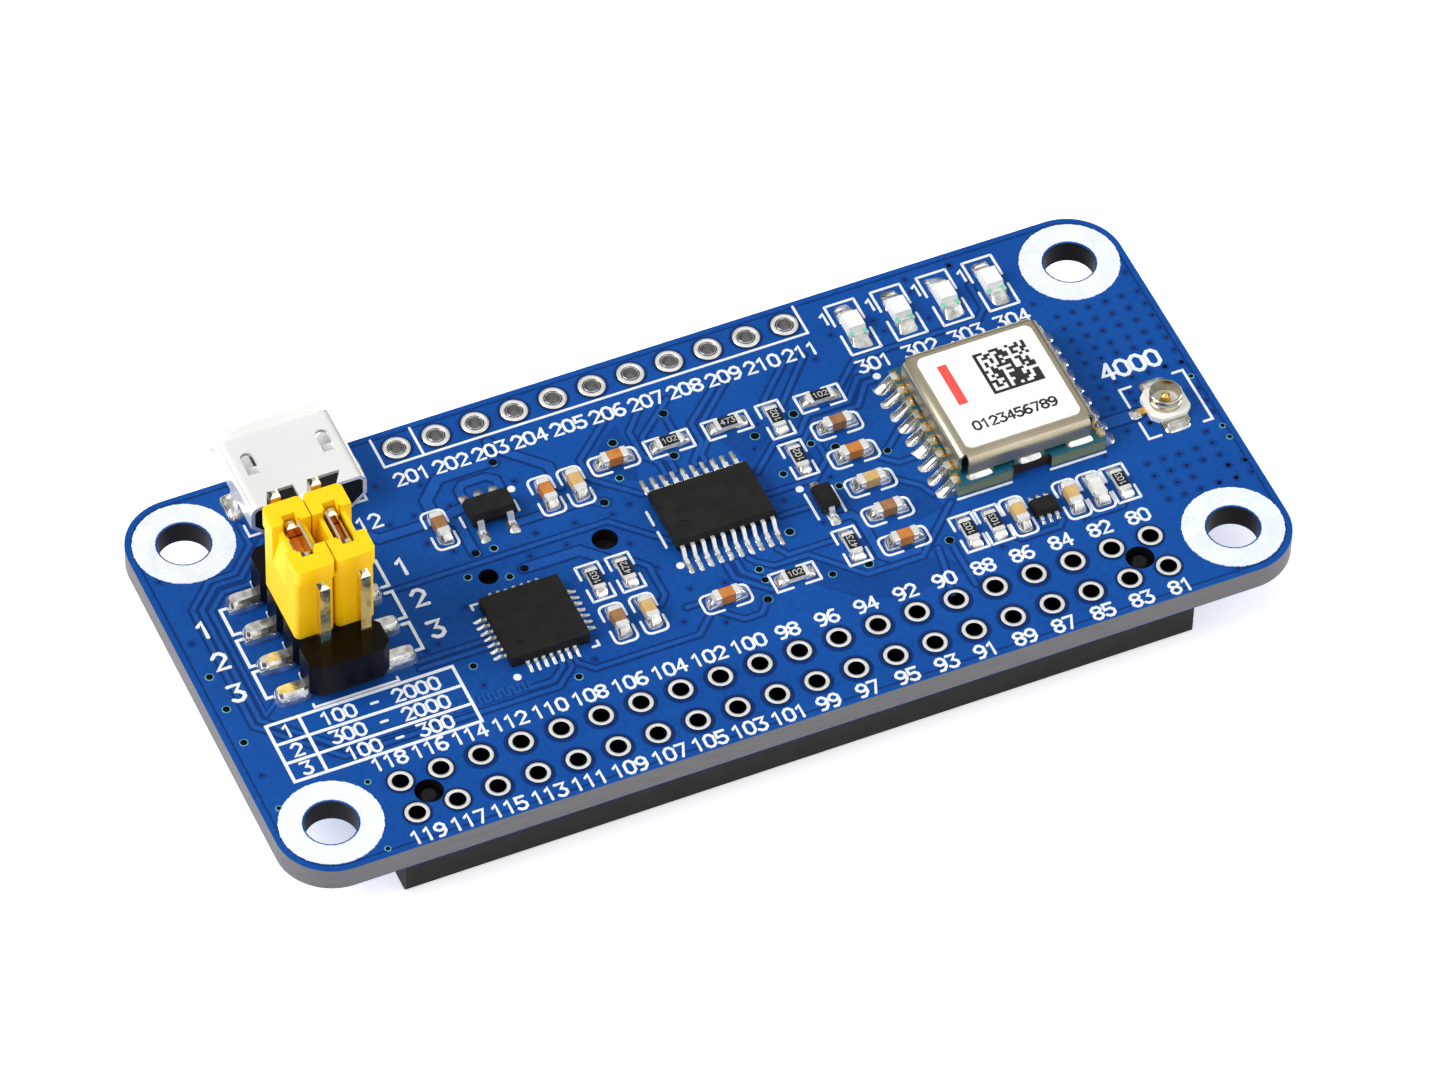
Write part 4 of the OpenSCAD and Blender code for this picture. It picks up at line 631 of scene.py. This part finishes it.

# Plated holes: drilled barrels with a tinned ring on each face, in two long rows for the header below and
# one row of breakout holes behind. In front the mask laps over each ring's rim as a collar, and fine dark
# lines mark the edges of the tin. The barrels are painted darker as shade inside the holes, near black in
# the front rows over the black housing, and thin dark rings of painted shade circle the hole mouths.
pad_r, pad_rise = 0.85, 0.05
bare_r, lip_r, barrel_r = 0.8, 0.51, 0.47
halo_w, crown_rise, lip_rise = 0.2, 0.035, 0.01
halo_rise = 0.2 * via_rise
collar_w, collar_rise, line_w, line_rise, line_lap, crown_lap = 0.05, 0.02, 0.06, 0.03, 0.04, 0.03
rear_lip_w, barrel_share = 0.05, 0.9
peg_clear, rear_inset, pad_steps = 21, 1.55, 32
front_places = [(x, -mount_y + side * pitch / 2) for x in header_x for side in (-1, 1)]
rear_places = [(x, board_high[1] - rear_inset) for x in rear_x]
hole_places = front_places + rear_places
tin_with_barrel_shade = grained(
    "tin_with_barrel_shade", (228, 228, 224), (250, 250, 247), rough=(0.14, 0.28), grain=(0.2, 0.9), bump=0.004,
    Metallic=0.6)
pad_gap_and_shade = grained(
    "pad_gap_and_shade", (18, 22, 44), (26, 30, 56), rough=(0.5, 0.6), grain=(0.2, 1), bump=0.001,
    Specular_IOR_Level=0.1)
hole_tree = tin_with_barrel_shade.node_tree
front_row = math_node(hole_tree, "LESS_THAN", add_node(
    hole_tree, "SeparateXYZ", {"Vector": object_place(hole_tree)[0]}).outputs["Y"], 0)
# Painted shade: the barrels below the pad tops take a darker grey, and those of the front row near black.
barrel_shade_zone = between(hole_tree, 0, board_top + barrel_share * pad_rise)
repaint(tin_with_barrel_shade, barrel_shade_zone, paint(156, 154, 148))
repaint(tin_with_barrel_shade, math_node(hole_tree, "MULTIPLY", front_row, barrel_shade_zone), paint(18, 16, 13))
dress(tin_with_barrel_shade, "plated_holes")
halo_places = [place for place in hole_places if abs(place[0]) < peg_clear or place[1] > 0]
add_piece("pad_halos", hoops(halo_places, pad_r, pad_r + halo_w, halo_rise), gap_blue)
pad_top = board_top + pad_rise
add_piece("pad_collars", hoops(
    front_places, bare_r, pad_r + collar_w, pad_rise + collar_rise, steps=pad_steps, crown=0.03),
    gap_blue)
line_r = bare_r - line_lap
add_piece("pad_gaps", joined([
    hoops(front_places, line_r, line_r + line_w, line_rise, pad_top, steps=pad_steps),
    hoops(rear_places, pad_r, pad_r + line_w, lip_rise, steps=pad_steps)]), pad_gap_and_shade)
rear_r = lip_r + rear_lip_w
add_piece("pad_crowns", joined([
    hoops(front_places, lip_r, bare_r - crown_lap, crown_rise, pad_top, steps=pad_steps, crown=0.08),
    hoops(rear_places, rear_r, pad_r, 2 * crown_rise, pad_top, steps=pad_steps, crown=0.1),
    hoops(rear_places, barrel_r, lip_r, crown_rise, pad_top, steps=pad_steps, crown=0.02)]),
    tin_with_barrel_shade)
# Painted shade: thin dark rings on the tin round the hole mouths, where the tin turns down into the
# barrels.
add_piece("pad_lip_shade", joined([
    hoops(front_places, barrel_r, lip_r + pit_lap, lip_rise, pad_top, steps=pad_steps),
    hoops(rear_places, lip_r - pit_lap, rear_r + pit_lap, lip_rise, pad_top, steps=pad_steps)]),
    pad_gap_and_shade)

# Female header: one black moulding under the front edge, with forty spring contacts soldered by their
# feet. Glass-filled plastic has a fine matt grain.
header_plastic = grained(
    "header_plastic", (18, 18, 19), (29, 28, 28), rough=(0.5, 0.65), grain=(0.08, 1.5), bump=0.006,
    Specular_IOR_Level=0.22)
spring_gold = grained(
    "spring_gold", (170, 140, 74), (206, 176, 106), rough=(0.2, 0.36), grain=(0.1, 1), bump=0.002,
    Metallic=1.0)
dress(header_plastic, "header_housing")
dress(spring_gold, "header_contacts")

# Serial socket: a shell folded from tin-plated steel, with two legs soldered through the board,
# round a black moulded tongue that carries five contacts.
bright_steel = grained(
    "bright_steel", (244, 244, 242), (252, 252, 250), rough=(0.22, 0.3), grain=(0.06, 5), bump=0.0012,
    Metallic=0.52)
dress(bright_steel, "usb_shell")
dress(header_plastic, "usb_insulator")
dress(spring_gold, "usb_contacts")


def mounds(seats, half, height, top=(0, 0), curve=0.5, level=board_top, wave=0.05, sides=28, levels=9):
    """Solder mounds on a row of seats. Every ring is a superellipse of power four. From foot to crown its
    half sizes shrink to the top's shares of them, and its height climbs as the share that has gone, raised
    to the curve: under one swells, over one hollows. Waves make each mound a little unlike the next."""
    seats = np.array(seats, float)
    share = np.linspace(1, 0.06, levels)[None, :, None]
    angle = np.linspace(0, 2 * np.pi, sides, endpoint=False)[None, None]
    order = np.arange(len(seats))[:, None, None]
    ripple = 1 + wave * np.sin(3 * angle + 2.4 * order) + wave * np.sin(2 * angle + 1.1 * order)
    across = np.sign(np.cos(angle)) * np.abs(np.cos(angle)) ** 0.5
    along = np.sign(np.sin(angle)) * np.abs(np.sin(angle)) ** 0.5
    east = across * half[0] * (top[0] + (1 - top[0]) * share) * ripple
    north = along * half[1] * (top[1] + (1 - top[1]) * share) * ripple
    climb = height * (1 - share) ** curve * (1 + 2 * wave * np.sin(1.7 * order))
    turn = np.radians(seats[:, 2])[:, None, None]
    x = seats[:, 0][:, None, None] + east * np.cos(turn) - north * np.sin(turn)
    y = seats[:, 1][:, None, None] + east * np.sin(turn) + north * np.cos(turn)
    return skins(np.stack([x, y, np.broadcast_to(level + climb, x.shape)], -1))


solder = grained(
    "solder", (186, 186, 182), (253, 253, 250), rough=(0.08, 0.18), grain=(0.6, 0.6), bump=0.012,
    Metallic=0.88)
usb_low, usb_high = node_box("usb_shell")
usb_x = (usb_low[0] + usb_high[0]) / 2
leg_out, leg_y = 3.8, 13.1
tail_pitch, tail_y = 0.65, 9.5
leg_seats = [(usb_x - leg_out, leg_y, 0), (usb_x + leg_out, leg_y, 0)]
contact_seats = [(usb_x + tail_pitch * i, tail_y, 90) for i in range(-2, 3)]
add_piece("socket_solder", joined([
    mounds(leg_seats, half=(0.62, 1.05), height=0.5, curve=0.45),
    mounds(leg_seats, half=(0.5, 1), height=-0.5, level=board_low[2]),
    mounds(contact_seats, half=(0.7, 0.2), height=0.16)]), solder)

# Jumper header: square gold-flashed pins pressed through a black base of four blocks. Their sheared tips
# are pale, and their tails are bent out and wholly wetted with solder.
pin_high = node_box("jumper_header_pins")[1][2]
tip_length = 0.3
base_black = grained(
    "base_black", (7, 7, 8), (14, 14, 15), rough=(0.3, 0.42), grain=(0.12, 1.5), bump=0.004,
    Specular_IOR_Level=0.16)
pin_gold = grained(
    "pin_gold", (216, 172, 88), (240, 206, 130), rough=(0.07, 0.16), grain=(0.5, 1.6), bump=0.01,
    Metallic=1.0)
tip_zone = between(pin_gold.node_tree, pin_high - tip_length, pin_high + tip_length)
repaint(pin_gold, tip_zone, paint(236, 228, 204))
dress(base_black, "jumper_header_base")
dress(pin_gold, "jumper_header_pins")
tail_out = 3.3
tail_seats = [(jumper_x + side * tail_out, y, 0) for y in jumper_rows for side in (-1, 1)]
add_piece("tail_solder", mounds(
    tail_seats, half=(1.16, 0.64), height=0.88, top=(0.8, 0.5), curve=0.5, wave=0.03), solder)

# Jumper caps: two hollow yellow mouldings side by side, each with grip rims at its ends, an inner web and
# a folded contact strip that bridges two pins. Moulded nylon is slightly translucent, with soft edges. The
# inner web is painted a deeper orange, as shade deep in the slot.
cap_round = 0.24
web_half, web_low, web_rise = (0.3, 0.9), 7.5, 2.3


def soften(width, *names):
    """Rounds the sharp edges of CAD nodes: a weld joins their loose triangles, a bevel rounds the edges."""
    for name in names:
        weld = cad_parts[name].modifiers.new("weld", "WELD")
        weld.merge_threshold = 1e-6
        round_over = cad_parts[name].modifiers.new("round_over", "BEVEL")
        round_over.width = width * MM
        round_over.segments = 3
        round_over.limit_method = "ANGLE"
        round_over.angle_limit = np.radians(40)
        round_over.harden_normals = True


def box_middle(node):
    """Middle of a node's box in plan, in millimetres."""
    return node_box(node)[:, :2].mean(axis=0)


cap_yellow = grained(
    "cap_yellow", (255, 200, 10), (255, 210, 24), rough=(0.36, 0.46), grain=(0.3, 2.5), bump=0.003,
    Specular_IOR_Level=0.3, Subsurface_Weight=0.12, Subsurface_Radius=(0.0006, 0.0005, 0.0001),
    Subsurface_Scale=1.0)
dress(cap_yellow, "jumper_cap_left", "jumper_cap_right")
soften(cap_round, "jumper_cap_left", "jumper_cap_right")
dress(pin_gold, "jumper_clip_left", "jumper_clip_right")
# Painted shade: the web inside each cap's slot takes a deeper orange than the nylon.
web_shade_orange = grained(
    "web_shade_orange", (206, 112, 8), (224, 134, 16), rough=(0.4, 0.5), grain=(0.3, 2), bump=0.003)
web_corners = np.array([(-1, -1), (1, -1), (1, 1), (-1, 1)]) * web_half
add_piece("cap_webs", joined([
    plate(web_corners + box_middle(clip), web_rise, web_low)
    for clip in ("jumper_clip_left", "jumper_clip_right")]), web_shade_orange)

# Receiver module: a small teal carrier soldered by half holes down both sides, under a shield can folded
# from tin-plated sheet. Solder climbs each half hole; the notch in front, where the tab broke off, is
# painted dark brown.
carrier_low, carrier_high = node_box("module_carrier")
carrier_teal = grained(
    "carrier_teal", (17, 80, 101), (26, 98, 120), rough=(0.3, 0.45), grain=(0.2, 3), bump=0.002)
bare_edge(
    carrier_teal, carrier_low[2], carrier_high[2] - mask_skin, paint(92, 108, 86), paint(124, 138, 112))
carrier_x, carrier_y = box_middle("module_carrier")
notch_w, notch_depth, notch_lap = 2.5, 0.3, 0.03
notch_half = ((notch_w / 2 + notch_lap) * MM, (notch_depth + notch_lap) * MM, 1)
carrier_tree = carrier_teal.node_tree
notch_front = (carrier_x * MM, carrier_low[1] * MM, 0)
notch_place = vector_node(carrier_tree, "SUBTRACT", object_place(carrier_tree)[0], notch_front)
notch_away = vector_node(carrier_tree, "ABSOLUTE", notch_place)
notch_reach = vector_node(carrier_tree, "DIVIDE", notch_away, notch_half)
notch_parts = add_node(carrier_tree, "SeparateXYZ", {"Vector": notch_reach}).outputs
notch_far = math_node(carrier_tree, "MAXIMUM", notch_parts["X"], notch_parts["Y"])
# The notch and the carrier faces round it are painted dark brown over the carrier's own colour.
repaint(carrier_teal, math_node(carrier_tree, "LESS_THAN", notch_far, 1), paint(52, 42, 28))
edge_gold = grained(
    "edge_gold", (196, 196, 190), (232, 232, 226), rough=(0.2, 0.34), grain=(0.12, 0.9), bump=0.003,
    Metallic=0.9)
edge_lift = 0.01
pad_zone = between(edge_gold.node_tree, carrier_high[2] + edge_lift, pin_high)
repaint(edge_gold, pad_zone, paint(214, 158, 56))
shield_tin = grained(
    "shield_tin", (174, 165, 140), (197, 188, 163), rough=(0.26, 0.34), grain=(0.08, 6), bump=0.002,
    Metallic=0.9)
dress(carrier_teal, "module_carrier")
dress(edge_gold, "module_castellations")
dress(shield_tin, "module_shield")
shield_round = 0.08
soften(shield_round, "module_shield")
edge_count, edge_pitch, foot_pitch = 9, 1.1, 3.35
edge_ys = carrier_y + (np.arange(edge_count) - (edge_count - 1) / 2) * edge_pitch
left_seats = [(carrier_low[0], y, 0) for y in edge_ys]
right_seats = [(carrier_high[0], y, 0) for y in edge_ys]
foot_xs = carrier_x + foot_pitch * np.array([-1, 0, 1])
shield_low, shield_high = node_box("module_shield")
foot_seats = [(x, y, 90) for x in foot_xs for y in (shield_low[1], shield_high[1])]
add_piece("module_solder", joined([
    mounds(left_seats, half=(1.2, 0.4), height=1.0, top=(0.1, 0.7), curve=1.4, wave=0.05),
    mounds(right_seats, half=(0.85, 0.45), height=1.0, top=(0.15, 0.7), curve=1.3, wave=0.04),
    mounds(foot_seats, half=(0.26, 0.8), height=0.26, top=(0, 0.8), curve=0.9, level=carrier_high[2])]),
    solder)

# Label: coated white paper stuck on the shield. It is printed in black with a block code and a plain
# number, and in red with a bar.
label_x, label_y = box_middle("module_label")
label_top = node_box("module_label")[1][2]
print_rise = 0.008
code_cells, cell_side = 16, 0.21
code_x, code_y = label_x + 1.2, label_y + 1.15
bar_size = (0.6, 3.3)
bar_x, bar_y = label_x - 2.5, label_y + 1.15
number_drop, number_h, number_w = 2.35, 0.66, 0.14
label_white = grained(
    "label_paper", (238, 238, 237), (249, 249, 248), rough=(0.35, 0.45), grain=(0.1, 2), bump=0.002)
print_black = grained(
    "print_black", (30, 29, 28), (44, 43, 42), rough=(0.5, 0.6), grain=(0.1, 1), bump=0.001)
print_red = grained(
    "print_red", (226, 70, 66), (240, 92, 86), rough=(0.45, 0.55), grain=(0.1, 1), bump=0.001)
dress(label_white, "module_label")
draw = np.random.default_rng(11)
dark_cells = draw.random((code_cells, code_cells)) < 0.5
dark_cells[0] = True
dark_cells[:, 0] = True
cell_row, cell_column = np.nonzero(dark_cells)
cell_places = np.column_stack([cell_column, cell_row]) * cell_side - code_cells * cell_side / 2
cell_places += (code_x, code_y)
square = np.array([(0, 0), (1, 0), (1, 1), (0, 1)]) * cell_side
flat_cells = cell_places[:, None, None] + np.broadcast_to(square, (2, 4, 2))
cell_levels = np.array([0, print_rise])[:, None, None] + label_top
cell_heights = np.broadcast_to(cell_levels, (len(cell_places), 2, 4, 1))
number_row = number_lines("0123456789", (label_x, label_y - number_drop, 0), number_h, number_w)
add_piece("label_print", joined(
    [skins(np.concatenate([flat_cells, cell_heights], -1))] + ribbons(number_row, print_rise, label_top)),
    print_black)
bar_corners = np.array([(-0.5, -0.5), (0.5, -0.5), (0.5, 0.5), (-0.5, 0.5)]) * bar_size + (bar_x, bar_y)
add_piece("label_bar", plate(bar_corners, print_rise, label_top), print_red)

# Chips under the shield: the receiver in black resin, and the filter and oscillator in small metal cans.
# All three are soldered flat on the carrier.
chip_resin = grained(
    "chip_resin", (26, 26, 25), (38, 38, 37), rough=(0.5, 0.62), grain=(0.06, 0.8), bump=0.004,
    Specular_IOR_Level=0.2)
can_metal = grained(
    "can_metal", (180, 178, 172), (212, 210, 204), rough=(0.25, 0.4), grain=(0.1, 1), bump=0.002,
    Metallic=0.9)
dress(chip_resin, "receiver_chip")
dress(can_metal, "saw_filter", "oscillator")

# Level shifter, serial bridge, regulator, diode and load switch: black moulded packages whose tinned leads
# or edge terminals are soldered to pads a little longer than the lead.
lead_tin = grained(
    "lead_tin", (224, 224, 221), (250, 250, 247), rough=(0.14, 0.28), grain=(0.1, 0.7), bump=0.003,
    Metallic=0.55)
dress(
    chip_resin, "level_shifter_body", "usb_bridge_body", "regulator_body", "diode_body", "load_switch_body")
dress(
    lead_tin, "level_shifter_leads", "usb_bridge_pads", "regulator_leads", "diode_leads",
    "load_switch_leads")
shifter = box_middle("level_shifter_body")
bridge = box_middle("usb_bridge_body")
regulator = box_middle("regulator_body")
diode = box_middle("diode_body")
switch = box_middle("load_switch_body")
shifter_pitch, shifter_reach = 0.65, 3.3
bridge_pitch, bridge_reach = 0.5, 2.8
regulator_pitch, regulator_reach = 0.95, 1.4
diode_reach = 1.25
switch_pitch, switch_reach = 0.5, 0.85
shifter_seats = [
    (shifter[0] + (i - 4.5) * shifter_pitch, shifter[1] + side * shifter_reach, 90)
    for i in range(10) for side in (-1, 1)]
bridge_seats = [
    (bridge[0] + (i - 3) * bridge_pitch, bridge[1] + side * bridge_reach, 90)
    for i in range(7) for side in (-1, 1)]
bridge_seats += [
    (bridge[0] + side * bridge_reach, bridge[1] + (i - 3) * bridge_pitch, 0)
    for i in range(7) for side in (-1, 1)]
regulator_seats = [
    (regulator[0] + i * regulator_pitch, regulator[1] + side * regulator_reach, 90)
    for i, side in ((-1, 1), (0, 1), (1, 1), (-1, -1), (1, -1))]
diode_seats = [(diode[0], diode[1] + side * diode_reach, 90) for side in (-1, 1)]
switch_seats = [
    (switch[0] + i * switch_pitch, switch[1] + side * switch_reach, 90)
    for i in (-1, 0, 1) for side in (-1, 1)]
add_piece("chip_solder", joined([
    mounds(shifter_seats, half=(0.62, 0.17), height=0.1, curve=0.7),
    mounds(regulator_seats, half=(0.6, 0.32), height=0.2, curve=0.7),
    mounds(diode_seats, half=(0.55, 0.34), height=0.2, curve=0.7),
    mounds(switch_seats, half=(0.3, 0.13), height=0.1, curve=0.7)]), solder)
add_piece("bridge_solder", mounds(
    bridge_seats, half=(0.48, 0.12), height=0.2, top=(0, 0.7), curve=1.2), lead_tin)

# Antenna socket: a plated ring with ground tabs and a gold centre pin, moulded into a cream base.
# The tabs are soldered to three pads.
socket_white = grained(
    "socket_white", (238, 235, 226), (250, 249, 242), rough=(0.45, 0.6), grain=(0.1, 1), bump=0.003)
ring_silver = grained(
    "ring_silver", (154, 148, 132), (198, 193, 178), rough=(0.14, 0.26), grain=(0.1, 1), bump=0.002,
    Metallic=1.0)
socket_gold = grained(
    "socket_gold", (220, 168, 70), (244, 204, 116), rough=(0.16, 0.28), grain=(0.1, 1), bump=0.002,
    Metallic=0.95)
dress(socket_white, "antenna_socket_base")
dress(ring_silver, "antenna_socket_shell")
dress(socket_gold, "antenna_socket_pin")
ground_reach, signal_reach = 1.75, 1.95
ground_seats = [(antenna_x, antenna_y + side * ground_reach, 0) for side in (-1, 1)]
signal_seats = [(antenna_x - signal_reach, antenna_y, 0)]
add_piece("antenna_solder", joined([
    mounds(ground_seats, half=(0.86, 0.44), height=0.2, top=(0.5, 0.3), curve=0.6),
    mounds(signal_seats, half=(0.42, 0.4), height=0.16, curve=0.6)]), solder)

# Status lights: white moulded chips with a milky lens, each soldered at both ends on a framed pad.
# Two green specks mark the front end.
lens_milky = grained(
    "lens_milky", (238, 240, 236), (250, 251, 248), rough=(0.2, 0.32), grain=(0.15, 0.8), bump=0.003,
    Transmission_Weight=0.06, Coat_Weight=0.2)
light_white = grained(
    "light_white", (230, 232, 226), (247, 247, 243), rough=(0.35, 0.5), grain=(0.1, 1), bump=0.003)
mark_green = grained(
    "mark_green", (90, 196, 160), (120, 216, 184), rough=(0.4, 0.5), grain=(0.1, 1), bump=0.002)
dress(lens_milky, *[f"led_lens_{i}" for i in range(1, 5)])
dress(light_white, "led_bases")
dress(lead_tin, "led_terminals")
light_reach, mark_out, mark_front, mark_r, mark_rise = 1.05, 0.44, 0.8, 0.14, 0.06
light_seats = [(x, led_y + side * light_reach, 90 * side) for x in led_x for side in (-1, 1)]
add_piece("light_solder", mounds(
    light_seats, half=(0.75, 0.62), height=0.36, top=(0.1, 0.75), curve=1.1, wave=0.06), solder)
mark_places = [(x + side * mark_out, led_y - mark_front) for x in led_x for side in (-1, 1)]
light_top = node_box("led_terminals")[1][2]
add_piece("light_marks", discs(mark_places, mark_r, mark_rise, light_top), mark_green)

# Chip parts: brown, orange and tan ceramic capacitors, black-coated resistors and one pale bead. Each has
# silvered ends that solder wets from the pad upwards; the resistors carry a plain value number.
ceramic_round, terminal_round = 0.04, 0.1
ceramic_tones = {
    "ceramic_brown": ((132, 92, 58), (164, 118, 76)),
    "ceramic_orange": ((176, 106, 44), (206, 132, 62)),
    "ceramic_tan": ((188, 152, 90), (214, 180, 118)),
}
ceramics = {
    name: grained(name, *tones, rough=(0.45, 0.6), grain=(0.05, 0.6), bump=0.004)
    for name, tones in ceramic_tones.items()}
for number in range(1, 15):
    name = f"capacitor_{number}"
    packed_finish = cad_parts[name].material_slots[0].material.name
    dress(ceramics[packed_finish.split(".")[0]], name)
    soften(ceramic_round, name)
black_glass = grained(
    "black_glass", (22, 22, 23), (36, 36, 37), rough=(0.3, 0.44), grain=(0.1, 0.6), bump=0.003,
    Specular_IOR_Level=0.25)
pale_ceramic = grained(
    "pale_ceramic", (206, 208, 202), (232, 232, 226), rough=(0.45, 0.6), grain=(0.06, 0.6), bump=0.004)
value_grey = grained(
    "value_grey", (176, 178, 178), (208, 208, 206), rough=(0.5, 0.6), grain=(0.1, 1), bump=0.001)
dress(black_glass, "resistor_coats")
dress(pale_ceramic, "resistor_bodies", "ferrite_bead")
dress(lead_tin, "chip_terminals")
soften(terminal_round, "chip_terminals")
chip_end, value_h, value_w, value_rise = 0.8, 0.38, 0.055, 0.006


def end_seats(seats):
    """Seats at both ends of chip parts, each facing outwards."""
    return [
        (*turned((side * chip_end, 0), seat), seat[2] + (0 if side > 0 else 180))
        for seat in seats for side in (-1, 1)]


capacitor_ends = end_seats(capacitor_seats + [bead_seat])
resistor_ends = end_seats(resistor_seats)
add_piece("chip_fillets", joined([
    mounds(capacitor_ends, half=(0.5, 0.48), height=0.64, top=(0.3, 0.6), curve=0.62),
    mounds(resistor_ends, half=(0.48, 0.46), height=0.38, top=(0.25, 0.6), curve=0.62)]), solder)
coat_top = node_box("resistor_coats")[1][2]
value_texts = ["102", "473", "102", "102", "102", "473", "102", "103", "472", "103", "103", "103"]
value_lines = [
    line for text, seat in zip(value_texts, resistor_seats)
    for line in number_lines(text, seat, value_h, value_w)]
add_piece("resistor_values", joined(
    ribbons(value_lines, value_rise, coat_top)), value_grey)

# Backup cell under the board: a black moulded tray pegged into the board, two sprung contacts and a
# steel button cell. Their feet, and those of the header, are soldered to pads on the lower face.
cell_steel = grained(
    "cell_steel", (196, 196, 194), (226, 226, 224), rough=(0.18, 0.3), grain=(0.06, 3), bump=0.002,
    Metallic=1.0)
dress(header_plastic, "cell_holder")
dress(lead_tin, "cell_contacts")
dress(cell_steel, "backup_cell")
contacts_low, contacts_high = node_box("cell_contacts")
contact_y = (contacts_low[1] + contacts_high[1]) / 2
foot_inset, header_foot_out = 0.5, 3
cell_feet = [(contacts_low[0] + foot_inset, contact_y, 0), (contacts_high[0] - foot_inset, contact_y, 0)]
header_feet = [(x, -mount_y + side * header_foot_out, 90) for x in header_x for side in (-1, 1)]
add_piece("lower_solder", joined([
    mounds(cell_feet, half=(0.9, 2.2), height=-0.35, curve=0.7, level=board_low[2]),
    mounds(header_feet, half=(0.5, 0.4), height=-0.3, curve=0.8, level=board_low[2])]), solder)

# Stage: a glowing white floor under a studio sky that brightens upwards, with a softbox on the left, a
# wide one in front and a low one on the right. The camera stands at the photograph's angle.
floor_half = 3.0
floor_z = cad_box[0][2]
floor_mesh = bpy.data.meshes.new("floor")
floor_corners = np.array([(-1, -1, 0), (1, -1, 0), (1, 1, 0), (-1, 1, 0)]) * floor_half + (0, 0, floor_z)
floor_mesh.from_pydata(floor_corners.tolist(), [], [(0, 1, 2, 3)])
floor_mesh.materials.append(grained(
    "floor_white", (250, 250, 250), (253, 253, 253), rough=(0.8, 0.9), grain=(3, 60), bump=0.0,
    Specular_IOR_Level=0.0, Emission_Color=(1, 1, 1, 1), Emission_Strength=0.45))
floor = bpy.data.objects.new("floor", floor_mesh)
bpy.context.scene.collection.objects.link(floor)

world = bpy.data.worlds.new("studio")
bpy.context.scene.world = world
world.use_nodes = True
backdrop = world.node_tree.nodes["Background"]
sky = world.node_tree.nodes.new("ShaderNodeTexCoord").outputs["Generated"]
sky_height = add_node(world.node_tree, "SeparateXYZ", {"Vector": sky}).outputs["Z"]
sky_rise = add_node(world.node_tree, "MapRange", {
    "Value": sky_height, "From Min": 0.2, "From Max": 0.85, "To Min": 0.03, "To Max": 1.0})
world.node_tree.links.new(mix_colour(
    world.node_tree, sky_rise.outputs["Result"], (0, 0, 0, 1), (1, 1, 1, 1)), backdrop.inputs["Color"])
backdrop.inputs["Strength"].default_value = 0.75

softboxes = {
    "key_light": ((-0.75, 0.15, 0.6), (0.7, 0.6), 9.0),
    "fill_light": ((0.35, -0.7, 0.45), (1.4, 0.9), 3.9),
    "side_light": ((0.85, -0.2, 0.12), (0.5, 0.3), 3.0),
}
for name, (place, size, power) in softboxes.items():
    lamp = bpy.data.lights.new(name, "AREA")
    lamp.shape = "RECTANGLE"
    lamp.size, lamp.size_y = size
    lamp.energy = power
    light = bpy.data.objects.new(name, lamp)
    away = np.array(place) / np.linalg.norm(place)
    side = np.cross((0, 0, 1), away)
    side /= np.linalg.norm(side)
    light.matrix_world = Matrix(
        np.column_stack([side, np.cross(away, side), away, place]).tolist() + [[0, 0, 0, 1]])
    bpy.context.scene.collection.objects.link(light)

view_ahead = np.array((0.2746, 0.5876, -0.7612))
view_right = np.array((0.9150, -0.4031, 0.0189))
view_place = np.array((-159.6, -343.0, 445.2)) * MM
camera_lens = bpy.data.cameras.new("camera")
camera_lens.sensor_width = 36
camera_lens.lens = 245.33
camera_lens.clip_start = 0.01
camera = bpy.data.objects.new("camera", camera_lens)
camera_up = np.cross(view_right, view_ahead)
camera.matrix_world = Matrix(
    np.column_stack([view_right, camera_up, -view_ahead, view_place]).tolist() + [[0, 0, 0, 1]])
bpy.context.scene.collection.objects.link(camera)
bpy.context.scene.camera = camera
bpy.context.scene.view_settings.view_transform = "Standard"
